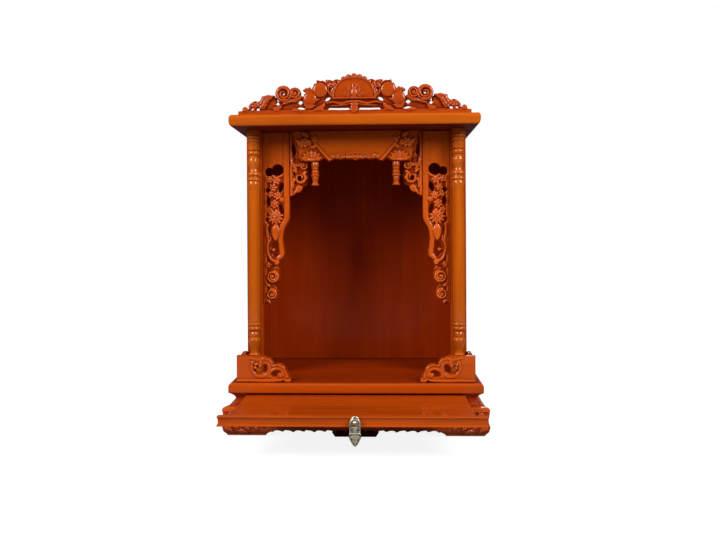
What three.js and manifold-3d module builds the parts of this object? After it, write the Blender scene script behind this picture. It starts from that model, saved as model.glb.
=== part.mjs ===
// Household altar cabinet: a red-brown lacquered hardwood shrine with a moulded roof, a pierced crest,
// turned columns, carved bracket boards, a low stand on carved feet and a pull-out offering shelf.
// Millimetres, +Z up, the front faces -Y. Every piece is drawn with y = 0 at the floor board's front edge;
// the outer group then brings the origin to the middle of the underside of the object's box.
import * as THREE from "three";
import { mergeVertices } from "three/addons/utils/BufferGeometryUtils.js";
import Module from "manifold-3d";

const wasm = await Module();
wasm.setup();

// ---- Driving dimensions ----
const GAP = 0.3; // between pieces that touch
const BACK_Y = 232; // rear faces of roof, walls and stand
const COLUMN_FACETS = 12;
const SMALL_FACETS = 10; // round the pendants and the knob

const FOOT_REACH = 8.5; // how far the stand's bulge passes the floor board
const STAND_HALF_WIDTH = 205;
const STAND_TOP_Z = 45;
const LEG_LENGTH = 66.6; // along the front and along the side
const LEG_THICK = 18;
const APRON_EDGE_Z = 10;
const CENTRE_FOOT_HALF = 31.5;

const WAIST_TOP_Z = 63.7;
const WAIST_HALF_WIDTH = 192.5;
const WAIST_COVE = 7;
const SLOT_HALF_WIDTH = 168.5;
const DECK_TOP_Z = 52.2;
const DECK_FRONT_Y = 1;
const BACK_RAIL_THICK = 10;

const FLOOR_HALF_WIDTH = 196.5;
const FLOOR_BOTTOM_Z = 64;
const FLOOR_TOP_Z = 80;
const FLOOR_PANEL_THICK = 6; // let into the floor board between the walls

const SHELF_TOP_Z = 62.5;
const SHELF_THICK = 10;
const SHELF_TAIL_DROP = 1.5; // the part that stays in the slot is lower
const SHELF_TAIL_Y = -1;
const SHELF_LENGTH = 208;
const SHELF_HALF_WIDTH = 168;
const FASCIA_FRONT_Y = -131.4; // pulled out for use
const FASCIA_THICK = 9.7;
const FASCIA_HALF_WIDTH = 184.1;
const FASCIA_HEIGHT = 13.8;

const FRAME_HALF_WIDTH = 178;
const FRAME_FRONT_Y = 63;
const STILE_WIDTH = 25;
const STILE_THICK = 12;
const WALL_THICK = 10;
const BACK_PANEL_THICK = 6;
const BACK_PANEL_RECESS = 2;

const ROOF_HALF_WIDTH = 194;
const ROOF_BOTTOM_Z = 477.2;
const ROOF_TOP_Z = 495.7;

const COLUMN_X = 164.5;
const COLUMN_Y = 51;
const COLUMN_RADIUS = 9.8;

const CREST_HALF_WIDTH = 182;
const CREST_HEIGHT = 64;
const CREST_FRONT_Y = 12;
const CREST_THICK = 10;

const BRACKET_FRONT_Y = 66;
const BRACKET_THICK = 8;
const BRACKET_INNER_X = 108.4;
const VALANCE_FRONT_Y = 52.7;
const VALANCE_THICK = 13;
const VALANCE_BOTTOM_Z = 427.6;
const VALANCE_HALF_WIDTH = 101;
const PENDANT_X = 65.6;
const PENDANT_LENGTH = 38;

const PODIUM_FRONT_Y = 8;
const PODIUM_THICK = 10;
const PODIUM_HALF_WIDTH = 185;
const PODIUM_LENGTH = 86;
const PODIUM_HEIGHT = 41;
const RETURN_THICK = PODIUM_HALF_WIDTH - FRAME_HALF_WIDTH - GAP;

const DROP_THICK = 2.6;
const DROP_RING_RADIUS = 8;
const DROP_EYE_RADIUS = 4.6;
const DROP_HALF_WIDTH = 8.6;
const DROP_TIP_Z = 23.9;
const KNOB_RADIUS = 3;
const KNOB_REACH = 13.1; // from the shelf's fascia to the knob's front
const KNOB_Z = 57.5;
const PULL_X = 4.6; // fixed a little to the right of the middle
const KNOB_NECK_RADIUS = 1.3;
const DROP_CLEARANCE = 0.7; // between the knob's neck and the ring round it
const DROP_AXIS_REACH = 4.8; // from the fascia to the middle of the drop's thickness

// Derived levels
const frameBottomZ = FLOOR_TOP_Z + GAP;
const frameTopZ = ROOF_BOTTOM_Z - GAP;
const originY = (FASCIA_FRONT_Y - KNOB_REACH + BACK_Y) / 2;
const dropRingWidth = DROP_RING_RADIUS - DROP_EYE_RADIUS;
const dropAxisZ = KNOB_Z + KNOB_NECK_RADIUS + DROP_CLEARANCE + dropRingWidth / 2;

// ---- Materials ----
const lacquer = new THREE.MeshStandardMaterial({ color: 0xb4501a, roughness: 0.28, metalness: 0 });
const carvedLacquer = new THREE.MeshStandardMaterial({ color: 0xa8481a, roughness: 0.32, metalness: 0 });
const nicheLacquer = new THREE.MeshStandardMaterial({ color: 0x8a2f10, roughness: 0.3, metalness: 0 });
const plainWood = new THREE.MeshStandardMaterial({ color: 0x8c4a22, roughness: 0.6, metalness: 0 });
const agedBrass = new THREE.MeshStandardMaterial({ color: 0xa9986c, roughness: 0.35, metalness: 1 });

// ---- Solids ----
function toSolid(geometry) {
  const bare = geometry.index ? geometry.toNonIndexed() : geometry.clone();
  bare.deleteAttribute("normal");
  bare.deleteAttribute("uv");
  const merged = mergeVertices(bare, 1e-4);
  return new wasm.Manifold(
    new wasm.Mesh({
      numProp: 3,
      vertProperties: new Float32Array(merged.attributes.position.array),
      triVerts: new Uint32Array(merged.index.array),
    }),
  );
}

function toGeometry(solid) {
  const mesh = solid.getMesh();
  const geometry = new THREE.BufferGeometry();
  geometry.setAttribute("position", new THREE.BufferAttribute(mesh.vertProperties, 3));
  geometry.setIndex(new THREE.BufferAttribute(mesh.triVerts, 1));
  geometry.computeVertexNormals();
  return geometry;
}

function joined(geometries) {
  const solids = geometries.map(toSolid);
  return toGeometry(solids.reduce((whole, next) => whole.add(next)));
}

function cut(geometry, tools) {
  const solids = tools.map(toSolid);
  return toGeometry(solids.reduce((whole, tool) => whole.subtract(tool), toSolid(geometry)));
}

function common(a, b) {
  return toGeometry(toSolid(a).intersect(toSolid(b)));
}

// A flat shape drawn in x and z, as a board from frontY backwards.
function board(shape, frontY, thick, curveSegments = 5) {
  const geometry = new THREE.ExtrudeGeometry(shape, { depth: thick, bevelEnabled: false, curveSegments });
  return geometry.rotateX(Math.PI / 2).translate(0, frontY + thick, 0);
}

// A section drawn in y and z, as a rail along x.
function railAlongX(shape, fromX, toX) {
  const settings = { depth: toX - fromX, bevelEnabled: false, curveSegments: 4 };
  const geometry = new THREE.ExtrudeGeometry(shape, settings);
  return geometry.rotateX(Math.PI / 2).rotateZ(Math.PI / 2).translate(fromX, 0, 0);
}

function box(fromX, toX, fromY, toY, fromZ, toZ) {
  const geometry = new THREE.BoxGeometry(toX - fromX, toY - fromY, toZ - fromZ);
  return geometry.translate((fromX + toX) / 2, (fromY + toY) / 2, (fromZ + toZ) / 2);
}

// Rectangles of different sizes one above another, joined into one solid.
function stack(levels) {
  const positions = [];
  const index = [];
  levels.forEach(({ x0, x1, y0, y1, z }) => positions.push(x0, y0, z, x1, y0, z, x1, y1, z, x0, y1, z));
  for (let level = 0; level + 1 < levels.length; level++) {
    for (let side = 0; side < 4; side++) {
      const a = 4 * level + side;
      const b = 4 * level + ((side + 1) % 4);
      index.push(a, b, b + 4, a, b + 4, a + 4);
    }
  }
  const top = 4 * (levels.length - 1);
  index.push(0, 2, 1, 0, 3, 2, top, top + 1, top + 2, top, top + 2, top + 3);
  const geometry = new THREE.BufferGeometry();
  geometry.setAttribute("position", new THREE.Float32BufferAttribute(positions, 3));
  geometry.setIndex(index);
  geometry.computeVertexNormals();
  return geometry;
}

// A board whose front and side edges follow a moulding: [inset, height] pairs from the bottom up.
function mouldedBoard(halfWidth, frontY, backY, moulding) {
  return stack(
    moulding.map(([inset, z]) => ({
      x0: -halfWidth + inset,
      x1: halfWidth - inset,
      y0: frontY + inset,
      y1: backY,
      z,
    })),
  );
}

// The rounded edge of a board between two levels, as [inset, height] pairs.
function roundedEdge(bottomZ, topZ, lowRadius, highRadius) {
  const steps = 3;
  const low = [];
  const high = [];
  for (let i = 0; i <= steps; i++) {
    const angle = (i / steps) * (Math.PI / 2);
    low.push([lowRadius * (1 - Math.sin(angle)), bottomZ + lowRadius * (1 - Math.cos(angle))]);
    high.push([highRadius * (1 - Math.cos(angle)), topZ - highRadius * (1 - Math.sin(angle))]);
  }
  return [...low, ...high];
}

// A turned piece about the z axis from [radius, height] pairs.
function turned(profile, facets) {
  const points = profile.map(([radius, height]) => new THREE.Vector2(radius, height));
  return new THREE.LatheGeometry(points, facets).rotateX(Math.PI / 2);
}

// ---- Shapes drawn in x and z ----
const disc = (x, z, radius) => new THREE.Shape().absarc(x, z, radius, 0, 2 * Math.PI);
const oval = (x, z, rx, rz, tilt = 0) =>
  new THREE.Shape().absellipse(x, z, rx, rz, 0, 2 * Math.PI, false, tilt);

function outline(points) {
  return new THREE.Shape(points.map(([x, z]) => new THREE.Vector2(x, z)));
}

// A closed outline that starts with straight corners and ends with a smooth curve back to the first.
function curvedOutline(corners, curve) {
  const shape = outline(corners);
  shape.splineThru(curve.map(([x, z]) => new THREE.Vector2(x, z)));
  return shape;
}

function mirroredPair(items) {
  return items.flatMap(([x, ...rest]) => (x === 0 ? [[x, ...rest]] : [[x, ...rest], [-x, ...rest]]));
}

// A smooth boss standing out of a board's front face.
function boss(x, z, rx, rz, frontY, rise) {
  const ball = new THREE.SphereGeometry(1, 8, 4).scale(rx, rise, rz);
  return ball.translate(x, frontY + 0.4, z);
}

// ---- Stand: four corner legs, aprons, a centre foot, the waist and the deck the shelf slides on ----
// The bulging outer profile of legs and aprons: [inset from the widest line, height].
const bulge = [
  [8.2, 0],
  [7.4, 2],
  [1.7, 6.6],
  [0, 11],
  [0.8, 16],
  [2.4, 22.7],
  [1, 30],
  [0.4, 36.5],
  [1.6, 41.5],
  [5, STAND_TOP_Z],
];

function legGeometry(front) {
  const outerX = STAND_HALF_WIDTH;
  const innerX = outerX - LEG_LENGTH;
  const frontY = -FOOT_REACH;
  const y1 = front ? frontY + LEG_LENGTH : BACK_Y;
  const y0 = front ? frontY : BACK_Y - LEG_LENGTH;
  const post = stack(
    bulge.map(([inset, z]) => ({ x0: innerX, x1: outerX - inset, y0: front ? y0 + inset : y0, y1, z })),
  );
  const hollowY0 = front ? y0 + LEG_THICK : y0 - 1;
  const hollowY1 = front ? y1 + 1 : y1 - LEG_THICK;
  const hollow = box(innerX - 1, outerX - LEG_THICK, hollowY0, hollowY1, -1, STAND_TOP_Z + 1);
  return cut(post, [hollow]);
}

// The scalloped lower edge of an apron: shallow arcs that meet in cusps, from -half to half.
function scallopedShape(half, lobes) {
  const shape = new THREE.Shape();
  shape.moveTo(-half, STAND_TOP_Z);
  shape.lineTo(-half, APRON_EDGE_Z - 3);
  const step = (2 * half) / lobes;
  for (let i = 0; i < lobes; i++) {
    const from = -half + i * step;
    shape.quadraticCurveTo(from + step / 2, APRON_EDGE_Z + 3, from + step, APRON_EDGE_Z - 3);
  }
  shape.lineTo(half, STAND_TOP_Z);
  return shape;
}

function apronGeometry(half, lobes) {
  const faces = outline([
    [LEG_THICK - FOOT_REACH, 0],
    ...bulge.map(([inset, z]) => [inset - FOOT_REACH, z]),
    [LEG_THICK - FOOT_REACH, STAND_TOP_Z],
  ]);
  const scalloped = board(scallopedShape(half, lobes), -FOOT_REACH - 1, LEG_THICK + 2);
  return common(scalloped, railAlongX(faces, -half, half));
}

function centreFootGeometry() {
  const top = APRON_EDGE_Z - 3 - GAP;
  const half = CENTRE_FOOT_HALF;
  return board(outline([[-half, 0], [half, 0], [half + 4.5, top], [-half - 4.5, top]]), -6, LEG_THICK - 4);
}

function waistSideGeometry() {
  const bottomZ = STAND_TOP_Z + GAP;
  const levels = [0, 0.3, 0.7, 1, 0.7, 0.3, 0].map((depth, i, all) => ({
    x0: SLOT_HALF_WIDTH,
    x1: WAIST_HALF_WIDTH - WAIST_COVE * depth,
    y0: 0.6 + WAIST_COVE * depth,
    y1: BACK_Y,
    z: bottomZ + (i / (all.length - 1)) * (WAIST_TOP_Z - bottomZ),
  }));
  return stack(levels);
}

// ---- Offering shelf ----
function fasciaGeometry() {
  const bottomZ = SHELF_TOP_Z - FASCIA_HEIGHT;
  const cove = [
    [0, bottomZ],
    [0, bottomZ + 2],
    [1.2, bottomZ + 3],
    [1.8, bottomZ + 6.6],
    [1.3, SHELF_TOP_Z - 3],
    [0.2, SHELF_TOP_Z - 1.4],
    [0, SHELF_TOP_Z],
  ];
  return mouldedBoard(FASCIA_HALF_WIDTH, FASCIA_FRONT_Y, FASCIA_FRONT_Y + FASCIA_THICK, cove);
}

function shelfBoardGeometry() {
  const frontY = FASCIA_FRONT_Y + FASCIA_THICK + GAP;
  const backY = frontY + SHELF_LENGTH;
  const bottomZ = SHELF_TOP_Z - SHELF_THICK;
  const tailZ = SHELF_TOP_Z - SHELF_TAIL_DROP;
  const section = outline([
    [frontY, bottomZ],
    [backY, bottomZ],
    [backY, tailZ],
    [SHELF_TAIL_Y, tailZ],
    [SHELF_TAIL_Y, SHELF_TOP_Z],
    [frontY, SHELF_TOP_Z],
  ]);
  return railAlongX(section, -SHELF_HALF_WIDTH, SHELF_HALF_WIDTH);
}

// ---- Pull: a knobbed post and a shield-shaped drop that hangs on it ----
function knobGeometry() {
  const ballCentre = KNOB_REACH - KNOB_RADIUS;
  const profile = [
    [0, GAP],
    [6.5, GAP],
    [6.5, 1.2],
    [4.6, 1.9],
    [KNOB_NECK_RADIUS, 2.2],
    [KNOB_NECK_RADIUS, ballCentre - 2.7],
  ];
  for (let i = 1; i <= 6; i++) {
    const angle = -1.12 + (i / 6) * (Math.PI / 2 + 1.12);
    profile.push([Math.max(KNOB_RADIUS * Math.cos(angle), 0), ballCentre + KNOB_RADIUS * Math.sin(angle)]);
  }
  profile[profile.length - 1][0] = 0;
  return turned(profile, SMALL_FACETS).rotateX(Math.PI / 2);
}

// The drop hangs from the middle of its ring's top, which is its local origin.
function dropGeometry() {
  const ringZ = -(DROP_RING_RADIUS + DROP_EYE_RADIUS) / 2;
  const tipZ = DROP_TIP_Z - dropAxisZ;
  const blade = outline([
    [-DROP_RING_RADIUS, ringZ],
    [-7.4, ringZ - 10.6],
    [-DROP_HALF_WIDTH, ringZ - 17.6],
    [-4.6, tipZ + 5.4],
    [0, tipZ],
    [4.6, tipZ + 5.4],
    [DROP_HALF_WIDTH, ringZ - 17.6],
    [7.4, ringZ - 10.6],
    [DROP_RING_RADIUS, ringZ],
  ]);
  const plaque = joined([
    board(disc(0, ringZ, DROP_RING_RADIUS), -DROP_THICK / 2, DROP_THICK, 12),
    board(blade, -DROP_THICK / 2, DROP_THICK),
  ]);
  return cut(plaque, [board(disc(0, ringZ, DROP_EYE_RADIUS), -DROP_THICK, 2 * DROP_THICK, 8)]);
}

// ---- Turned pieces ----
// A ring of a turned piece: a half-round bead about a level.
function bead(z, radius, neck, half) {
  return [[neck, z - half], [radius, z - half * 0.55], [radius, z + half * 0.55], [neck, z + half]];
}

function columnGeometry() {
  const shaft = COLUMN_RADIUS;
  const up = [
    [0, 0],
    [11.2, 0],
    [11.2, 14],
    ...bead(18, 10.5, 8.1, 3),
    [7.2, 26],
    ...bead(36.5, 8.8, 6, 4),
    [6.2, 43],
    [10, 61],
    [6.7, 63.6],
    [8.1, 69],
    [6.7, 73.4],
    ...bead(79.3, 11.1, 9.1, 2.6),
    ...bead(85.5, 11.1, 9.1, 2.6),
    [shaft, 89.7],
    [shaft - 0.4, 308],
    ...bead(317.5, 11.1, 8.8, 2.4),
    ...bead(324.8, 11.1, 8.8, 2.4),
    [6.9, 330.5],
    [9.1, 336],
    [9.3, 345],
    [6.5, 356],
    ...bead(361.5, 9.1, 6.2, 3.2),
    [9.3, 368],
    [9.3, 377],
    ...bead(383, 10.5, 8.1, 3),
    [11.2, 388],
    [11.2, frameTopZ - frameBottomZ],
    [0, frameTopZ - frameBottomZ],
  ];
  return turned(up, COLUMN_FACETS);
}

function pendantGeometry() {
  const down = [
    [0, -PENDANT_LENGTH],
    [5.8, -PENDANT_LENGTH],
    [6, -PENDANT_LENGTH + 2.6],
    [4.4, -PENDANT_LENGTH + 7],
    [4.6, -28],
    [6.4, -24.4],
    [6.2, -20.6],
    [4.8, -18.6],
    ...bead(-15.8, 5.8, 4.8, 1.8),
    ...bead(-12, 5.6, 4.8, 1.6),
    ...bead(-7.6, 6.2, 4.8, 2.6),
    [5.8, -4],
    [5.8, 0],
    [0, 0],
  ];
  return turned(down, SMALL_FACETS);
}

// ---- Crest: a pierced and lobed board on the roof ----
function crestGeometry() {
  const body = outline(
    mirrorOutline([
      [CREST_HALF_WIDTH, 0],
      [178, 8],
      [160, 12],
      [140, 15],
      [112, 26],
      [80, 30],
      [50, 40],
      [20, 46],
    ]),
  );
  const lobes = mirroredPair([
    [169, 9.4, 5.6],
    [158, 13.4, 8.2],
    [143, 15, 9.4],
    [129, 21.4, 12.4],
    [110, 33, 12.9],
    [94.5, 34.6, 11.8],
    [71, 33.6, 12.2],
    [53.6, 42.4, 11.4],
    [39.5, 43.6, 12.4],
    [25, 44.6, 11],
    [14.6, 52, 11.6],
    [0, CREST_HEIGHT - 11, 11],
  ]);
  const holes = mirroredPair([
    [25, 13, 15, 2.8],
    [43.2, 27.4, 3.4, 3],
    [86.2, 22.6, 3.4, 3.2],
    [83.6, 12.6, 5.6, 2.2],
    [110, 33, 2.4, 2.4],
    [121.4, 19.6, 2.4, 2.4],
    [151.5, 9, 3.4, 2.2],
  ]);
  const bosses = mirroredPair([
    [53.6, 42, 9.6, 9.6, 3.6],
    [70.5, 24, 8.8, 8.8, 3.6],
  ]).concat(mirroredPair([
    [0, 42, 5.4, 10.5, 4],
    [9.6, 39.6, 5, 9, 3.2],
    [18, 35.6, 5, 7.4, 2.6],
  ]));
  const plate = joined([
    board(body, CREST_FRONT_Y, CREST_THICK),
    ...lobes.map(([x, z, r]) => board(disc(x, z, r), CREST_FRONT_Y, CREST_THICK, 8)),
    ...bosses.map(([x, z, rx, rz, rise]) => boss(x, z, rx, rz, CREST_FRONT_Y, rise)),
  ]);
  return cut(plate, holes.map(([x, z, rx, rz]) =>
    board(oval(x, z, rx, rz), CREST_FRONT_Y - 5, CREST_THICK + 10, 5)));
}

function mirrorOutline(right) {
  return [...right, ...right.map(([x, z]) => [-x, z]).reverse()];
}

// ---- Carved boards of the niche, drawn for the side where x is positive ----
function sideBracketGeometry() {
  const outerX = FRAME_HALF_WIDTH - STILE_WIDTH - GAP;
  const shape = curvedOutline(
    [[outerX, 202], [outerX, frameTopZ], [BRACKET_INNER_X, frameTopZ], [BRACKET_INNER_X, 337]],
    [[112.4, 326], [118.2, 316], [118.8, 284], [126.4, 265], [125.8, 250], [126, 238], [133.4, 225.5],
      [128.8, 216], [130.4, 205], [137.4, 197], [144.4, 194.6], [outerX, 202]],
  );
  const holes = [
    [128.8, 416, 8, 8.4, 0],
    [141.8, 412, 4.6, 5, 0],
    [143.2, 382.4, 3.4, 3.2, 0],
    [122.8, 386, 3.6, 7.6, 0.2],
    [143, 362, 3.4, 5.4, 0],
    [121, 351, 3.2, 9, -0.1],
    [143.6, 320, 2.2, 4.4, 0.3],
    [130, 286, 5.6, 11, -0.1],
    [133.8, 256, 4.4, 2.4, 0],
  ];
  const relief = [
    [133, 334, 11.5, 11.5, 3.4],
    [133, 309, 7.4, 12, 3],
    [135.8, 245, 7.6, 7.6, 2.6],
    [137.8, 213, 7.6, 7.6, 2.6],
    [132.8, 394, 7, 6, 2.4],
    [132.4, 368, 7.6, 8, 2.6],
  ];
  const plate = joined([
    board(shape, BRACKET_FRONT_Y, BRACKET_THICK, 3),
    ...relief.map(([x, z, rx, rz, rise]) => boss(x, z, rx, rz, BRACKET_FRONT_Y, rise)),
  ]);
  return cut(plate, holes.map(([x, z, rx, rz, tilt]) =>
    board(oval(x, z, rx, rz, tilt), BRACKET_FRONT_Y - 5, BRACKET_THICK + 10, 5)));
}

function cornerBracketGeometry() {
  const outerX = BRACKET_INNER_X - GAP;
  const shape = curvedOutline(
    [[outerX, 372], [outerX, frameTopZ], [72.4, frameTopZ], [72.4, 436]],
    [[77.4, 421], [85.9, 413], [86.4, 399], [95, 392], [97.4, 379], [102.4, 373], [outerX, 372]],
  );
  const holes = [
    [94.4, 417, 5, 5.6, 0.3],
    [100.4, 398, 3, 4.4, 0],
    [81.8, 432, 3.6, 4.6, 0],
    [100, 436, 3.6, 6, 0],
  ];
  return cut(board(shape, BRACKET_FRONT_Y, BRACKET_THICK, 3), holes.map(([x, z, rx, rz, tilt]) =>
    board(oval(x, z, rx, rz, tilt), BRACKET_FRONT_Y - 5, BRACKET_THICK + 10, 5)));
}

function valanceGeometry() {
  const top = frameTopZ;
  const low = VALANCE_BOTTOM_Z;
  const wide = VALANCE_HALF_WIDTH;
  const shape = new THREE.Shape();
  shape.moveTo(-wide, top);
  shape.bezierCurveTo(-wide, top - 18, -91, top - 22, -89.5, top - 31);
  shape.lineTo(-89, low + 1);
  shape.quadraticCurveTo(-72, low - 0.6, -54, low);
  shape.quadraticCurveTo(-50, low + 4, -45, low + 2.4);
  const lobes = 6;
  for (let i = 0; i < lobes; i++) {
    const from = -45 + i * (90 / lobes);
    shape.quadraticCurveTo(from + 45 / lobes, low + (i % 2 ? 5.4 : 1.8), from + 90 / lobes, low + 2.4);
  }
  shape.quadraticCurveTo(50, low + 4, 54, low);
  shape.quadraticCurveTo(72, low - 0.6, 89, low + 1);
  shape.lineTo(89.5, top - 31);
  shape.bezierCurveTo(91, top - 22, wide, top - 18, wide, top);
  const ridge = new THREE.CapsuleGeometry(1.8, 34, 3, 8);
  const ridges = [-1, 1].map((side) =>
    ridge.clone().rotateX(Math.PI / 2).rotateY((side * 39 * Math.PI) / 180)
      .translate(side * 51.5, VALANCE_FRONT_Y + 0.2, low + 17),
  );
  const flowers = [-1, 1].map((side) => boss(side * 76, low + 22, 10, 12, VALANCE_FRONT_Y, 3));
  return joined([board(shape, VALANCE_FRONT_Y, VALANCE_THICK, 4), ...ridges, ...flowers]);
}

// The podium board: a solid block at the corner that falls in scrolled steps towards the middle.
function podiumShape(length) {
  const far = (share) => length * share;
  return curvedOutline(
    [[0, 0], [0, PODIUM_HEIGHT], [far(0.33), PODIUM_HEIGHT]],
    [[far(0.46), 40], [far(0.58), 37.4], [far(0.65), 31], [far(0.76), 28.6], [far(0.87), 22.6],
      [far(0.95), 12], [far(1), 6], [far(0.985), 0]],
  );
}

function podiumGeometry() {
  const holes = [
    [39, 24, 11, 8.2],
    [62.7, 13.6, 7, 4.4],
  ];
  const plain = board(podiumShape(PODIUM_LENGTH), 0, PODIUM_THICK, 2);
  return cut(plain, holes.map(([x, z, rx, rz]) => board(oval(x, z, rx, rz), -5, PODIUM_THICK + 10, 5)));
}

function podiumReturnGeometry() {
  return board(podiumShape(PODIUM_LENGTH), 0, RETURN_THICK, 2);
}

// ---- Assembly ----
function add(group, name, geometry, material, position = [0, 0, 0]) {
  const mesh = new THREE.Mesh(geometry, material);
  mesh.name = name;
  mesh.position.set(...position);
  group.add(mesh);
  return mesh;
}

// Pieces that stand on both sides are drawn for x > 0 and mirrored for the left.
function sideGroup(suffix, sign) {
  const side = new THREE.Group();
  side.scale.x = sign;
  const wallX = FRAME_HALF_WIDTH - WALL_THICK;
  const stileX = FRAME_HALF_WIDTH - STILE_WIDTH;
  const stileBackY = FRAME_FRONT_Y + STILE_THICK;
  const wall = box(wallX, FRAME_HALF_WIDTH, stileBackY + GAP, BACK_Y, frameBottomZ, frameTopZ);
  const stile = box(stileX, FRAME_HALF_WIDTH, FRAME_FRONT_Y, stileBackY, frameBottomZ, frameTopZ);
  add(side, "side_panel_" + suffix, wall, nicheLacquer);
  add(side, "stile_" + suffix, stile, lacquer);
  add(side, "column_" + suffix, columnGeometry(), lacquer, [COLUMN_X, COLUMN_Y, frameBottomZ]);
  add(side, "side_bracket_" + suffix, sideBracketGeometry(), carvedLacquer);
  add(side, "corner_bracket_" + suffix, cornerBracketGeometry(), carvedLacquer);
  const pendantY = VALANCE_FRONT_Y + VALANCE_THICK / 2;
  const pendantZ = VALANCE_BOTTOM_Z - 1.2;
  add(side, "pendant_" + suffix, pendantGeometry(), lacquer, [PENDANT_X, pendantY, pendantZ]);
  const podium = podiumGeometry().scale(-1, 1, 1);
  podium.index.array.reverse();
  const cornerAt = [PODIUM_HALF_WIDTH, PODIUM_FRONT_Y, frameBottomZ];
  add(side, "podium_panel_" + suffix, podium, carvedLacquer, cornerAt);
  const returnY = PODIUM_FRONT_Y + PODIUM_THICK + GAP;
  const podiumReturn = add(side, "podium_return_" + suffix, podiumReturnGeometry(), carvedLacquer);
  podiumReturn.rotation.z = Math.PI / 2;
  podiumReturn.position.set(PODIUM_HALF_WIDTH, returnY, frameBottomZ);
  add(side, "waist_side_" + suffix, waistSideGeometry(), lacquer);
  add(side, "leg_front_" + suffix, legGeometry(true), carvedLacquer);
  add(side, "leg_back_" + suffix, legGeometry(false), carvedLacquer);
  const apronHalf = (BACK_Y + FOOT_REACH - 2 * LEG_LENGTH) / 2 - GAP;
  const apron = add(side, "apron_" + suffix, apronGeometry(apronHalf, 3), carvedLacquer);
  apron.rotation.z = Math.PI / 2;
  apron.position.set(STAND_HALF_WIDTH - FOOT_REACH, (BACK_Y - FOOT_REACH) / 2, 0);
  return side;
}

function shelfGroup() {
  const shelf = new THREE.Group();
  add(shelf, "shelf_board", shelfBoardGeometry(), lacquer);
  add(shelf, "shelf_fascia", fasciaGeometry(), lacquer);
  add(shelf, "pull_post", knobGeometry(), agedBrass, [PULL_X, FASCIA_FRONT_Y, KNOB_Z]);
  add(shelf, "pull_drop", dropGeometry(), agedBrass, [PULL_X, FASCIA_FRONT_Y - DROP_AXIS_REACH, dropAxisZ]);
  return shelf;
}

function standPieces(group) {
  const apronHalf = STAND_HALF_WIDTH - LEG_LENGTH - GAP;
  add(group, "apron_front", apronGeometry(apronHalf, 9), carvedLacquer);
  add(group, "centre_foot", centreFootGeometry(), lacquer);
  const backApron = box(-apronHalf, apronHalf, BACK_Y - LEG_THICK, BACK_Y, APRON_EDGE_Z, STAND_TOP_Z);
  add(group, "apron_back", backApron, plainWood);
  const slot = SLOT_HALF_WIDTH - GAP;
  const waistBottomZ = STAND_TOP_Z + GAP;
  const waistBack = box(-slot, slot, BACK_Y - BACK_RAIL_THICK, BACK_Y, waistBottomZ, WAIST_TOP_Z);
  add(group, "waist_back", waistBack, plainWood);
  const deckBackY = BACK_Y - BACK_RAIL_THICK - GAP;
  const deck = box(-slot, slot, DECK_FRONT_Y, deckBackY, waistBottomZ, DECK_TOP_Z);
  add(group, "deck_board", deck, plainWood);
}

const cabinet = new THREE.Group();
standPieces(cabinet);
const floorEdge = roundedEdge(FLOOR_BOTTOM_Z, FLOOR_TOP_Z, 3, 5);
const nicheHalf = FRAME_HALF_WIDTH - WALL_THICK;
const nicheFrontY = FRAME_FRONT_Y + STILE_THICK;
const backRearY = BACK_Y - BACK_PANEL_RECESS;
const backFrontY = backRearY - BACK_PANEL_THICK;
const panelBottomZ = FLOOR_TOP_Z - FLOOR_PANEL_THICK;
const pocketBottomZ = panelBottomZ - GAP;
const pocket = box(-nicheHalf, nicheHalf, nicheFrontY, backFrontY, pocketBottomZ, FLOOR_TOP_Z + 1);
const floorBoard = cut(mouldedBoard(FLOOR_HALF_WIDTH, 0, BACK_Y, floorEdge), [pocket]);
add(cabinet, "floor_board", floorBoard, lacquer);
const panelHalf = nicheHalf - GAP;
const panelFrontY = nicheFrontY + GAP;
const panelBackY = backFrontY - GAP;
const floorPanel = box(-panelHalf, panelHalf, panelFrontY, panelBackY, panelBottomZ, FLOOR_TOP_Z);
add(cabinet, "niche_floor_panel", floorPanel, nicheLacquer);
const roofEdge = roundedEdge(ROOF_BOTTOM_Z, ROOF_TOP_Z, 4, 6);
add(cabinet, "roof_board", mouldedBoard(ROOF_HALF_WIDTH, 0, BACK_Y, roofEdge), lacquer);
const backPanel = box(-panelHalf, panelHalf, backFrontY, backRearY, frameBottomZ, frameTopZ);
add(cabinet, "back_panel", backPanel, nicheLacquer);
add(cabinet, "crest", crestGeometry(), carvedLacquer, [0, 0, ROOF_TOP_Z + GAP]);
add(cabinet, "valance", valanceGeometry(), carvedLacquer);
cabinet.add(sideGroup("right", 1), sideGroup("left", -1), shelfGroup());
cabinet.position.y = -originY;

const group = new THREE.Group();
group.add(cabinet);

export default group;
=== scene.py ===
"""Looks of the household altar cabinet: carved relief, turned columns, mouldings, lacquer and brass.

Lengths inside the script are millimetres in the row frame, and become metres when a mesh is made.
The front faces -Y. Pieces of the right side are drawn once and mirrored for the left.
"""

import math

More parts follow.
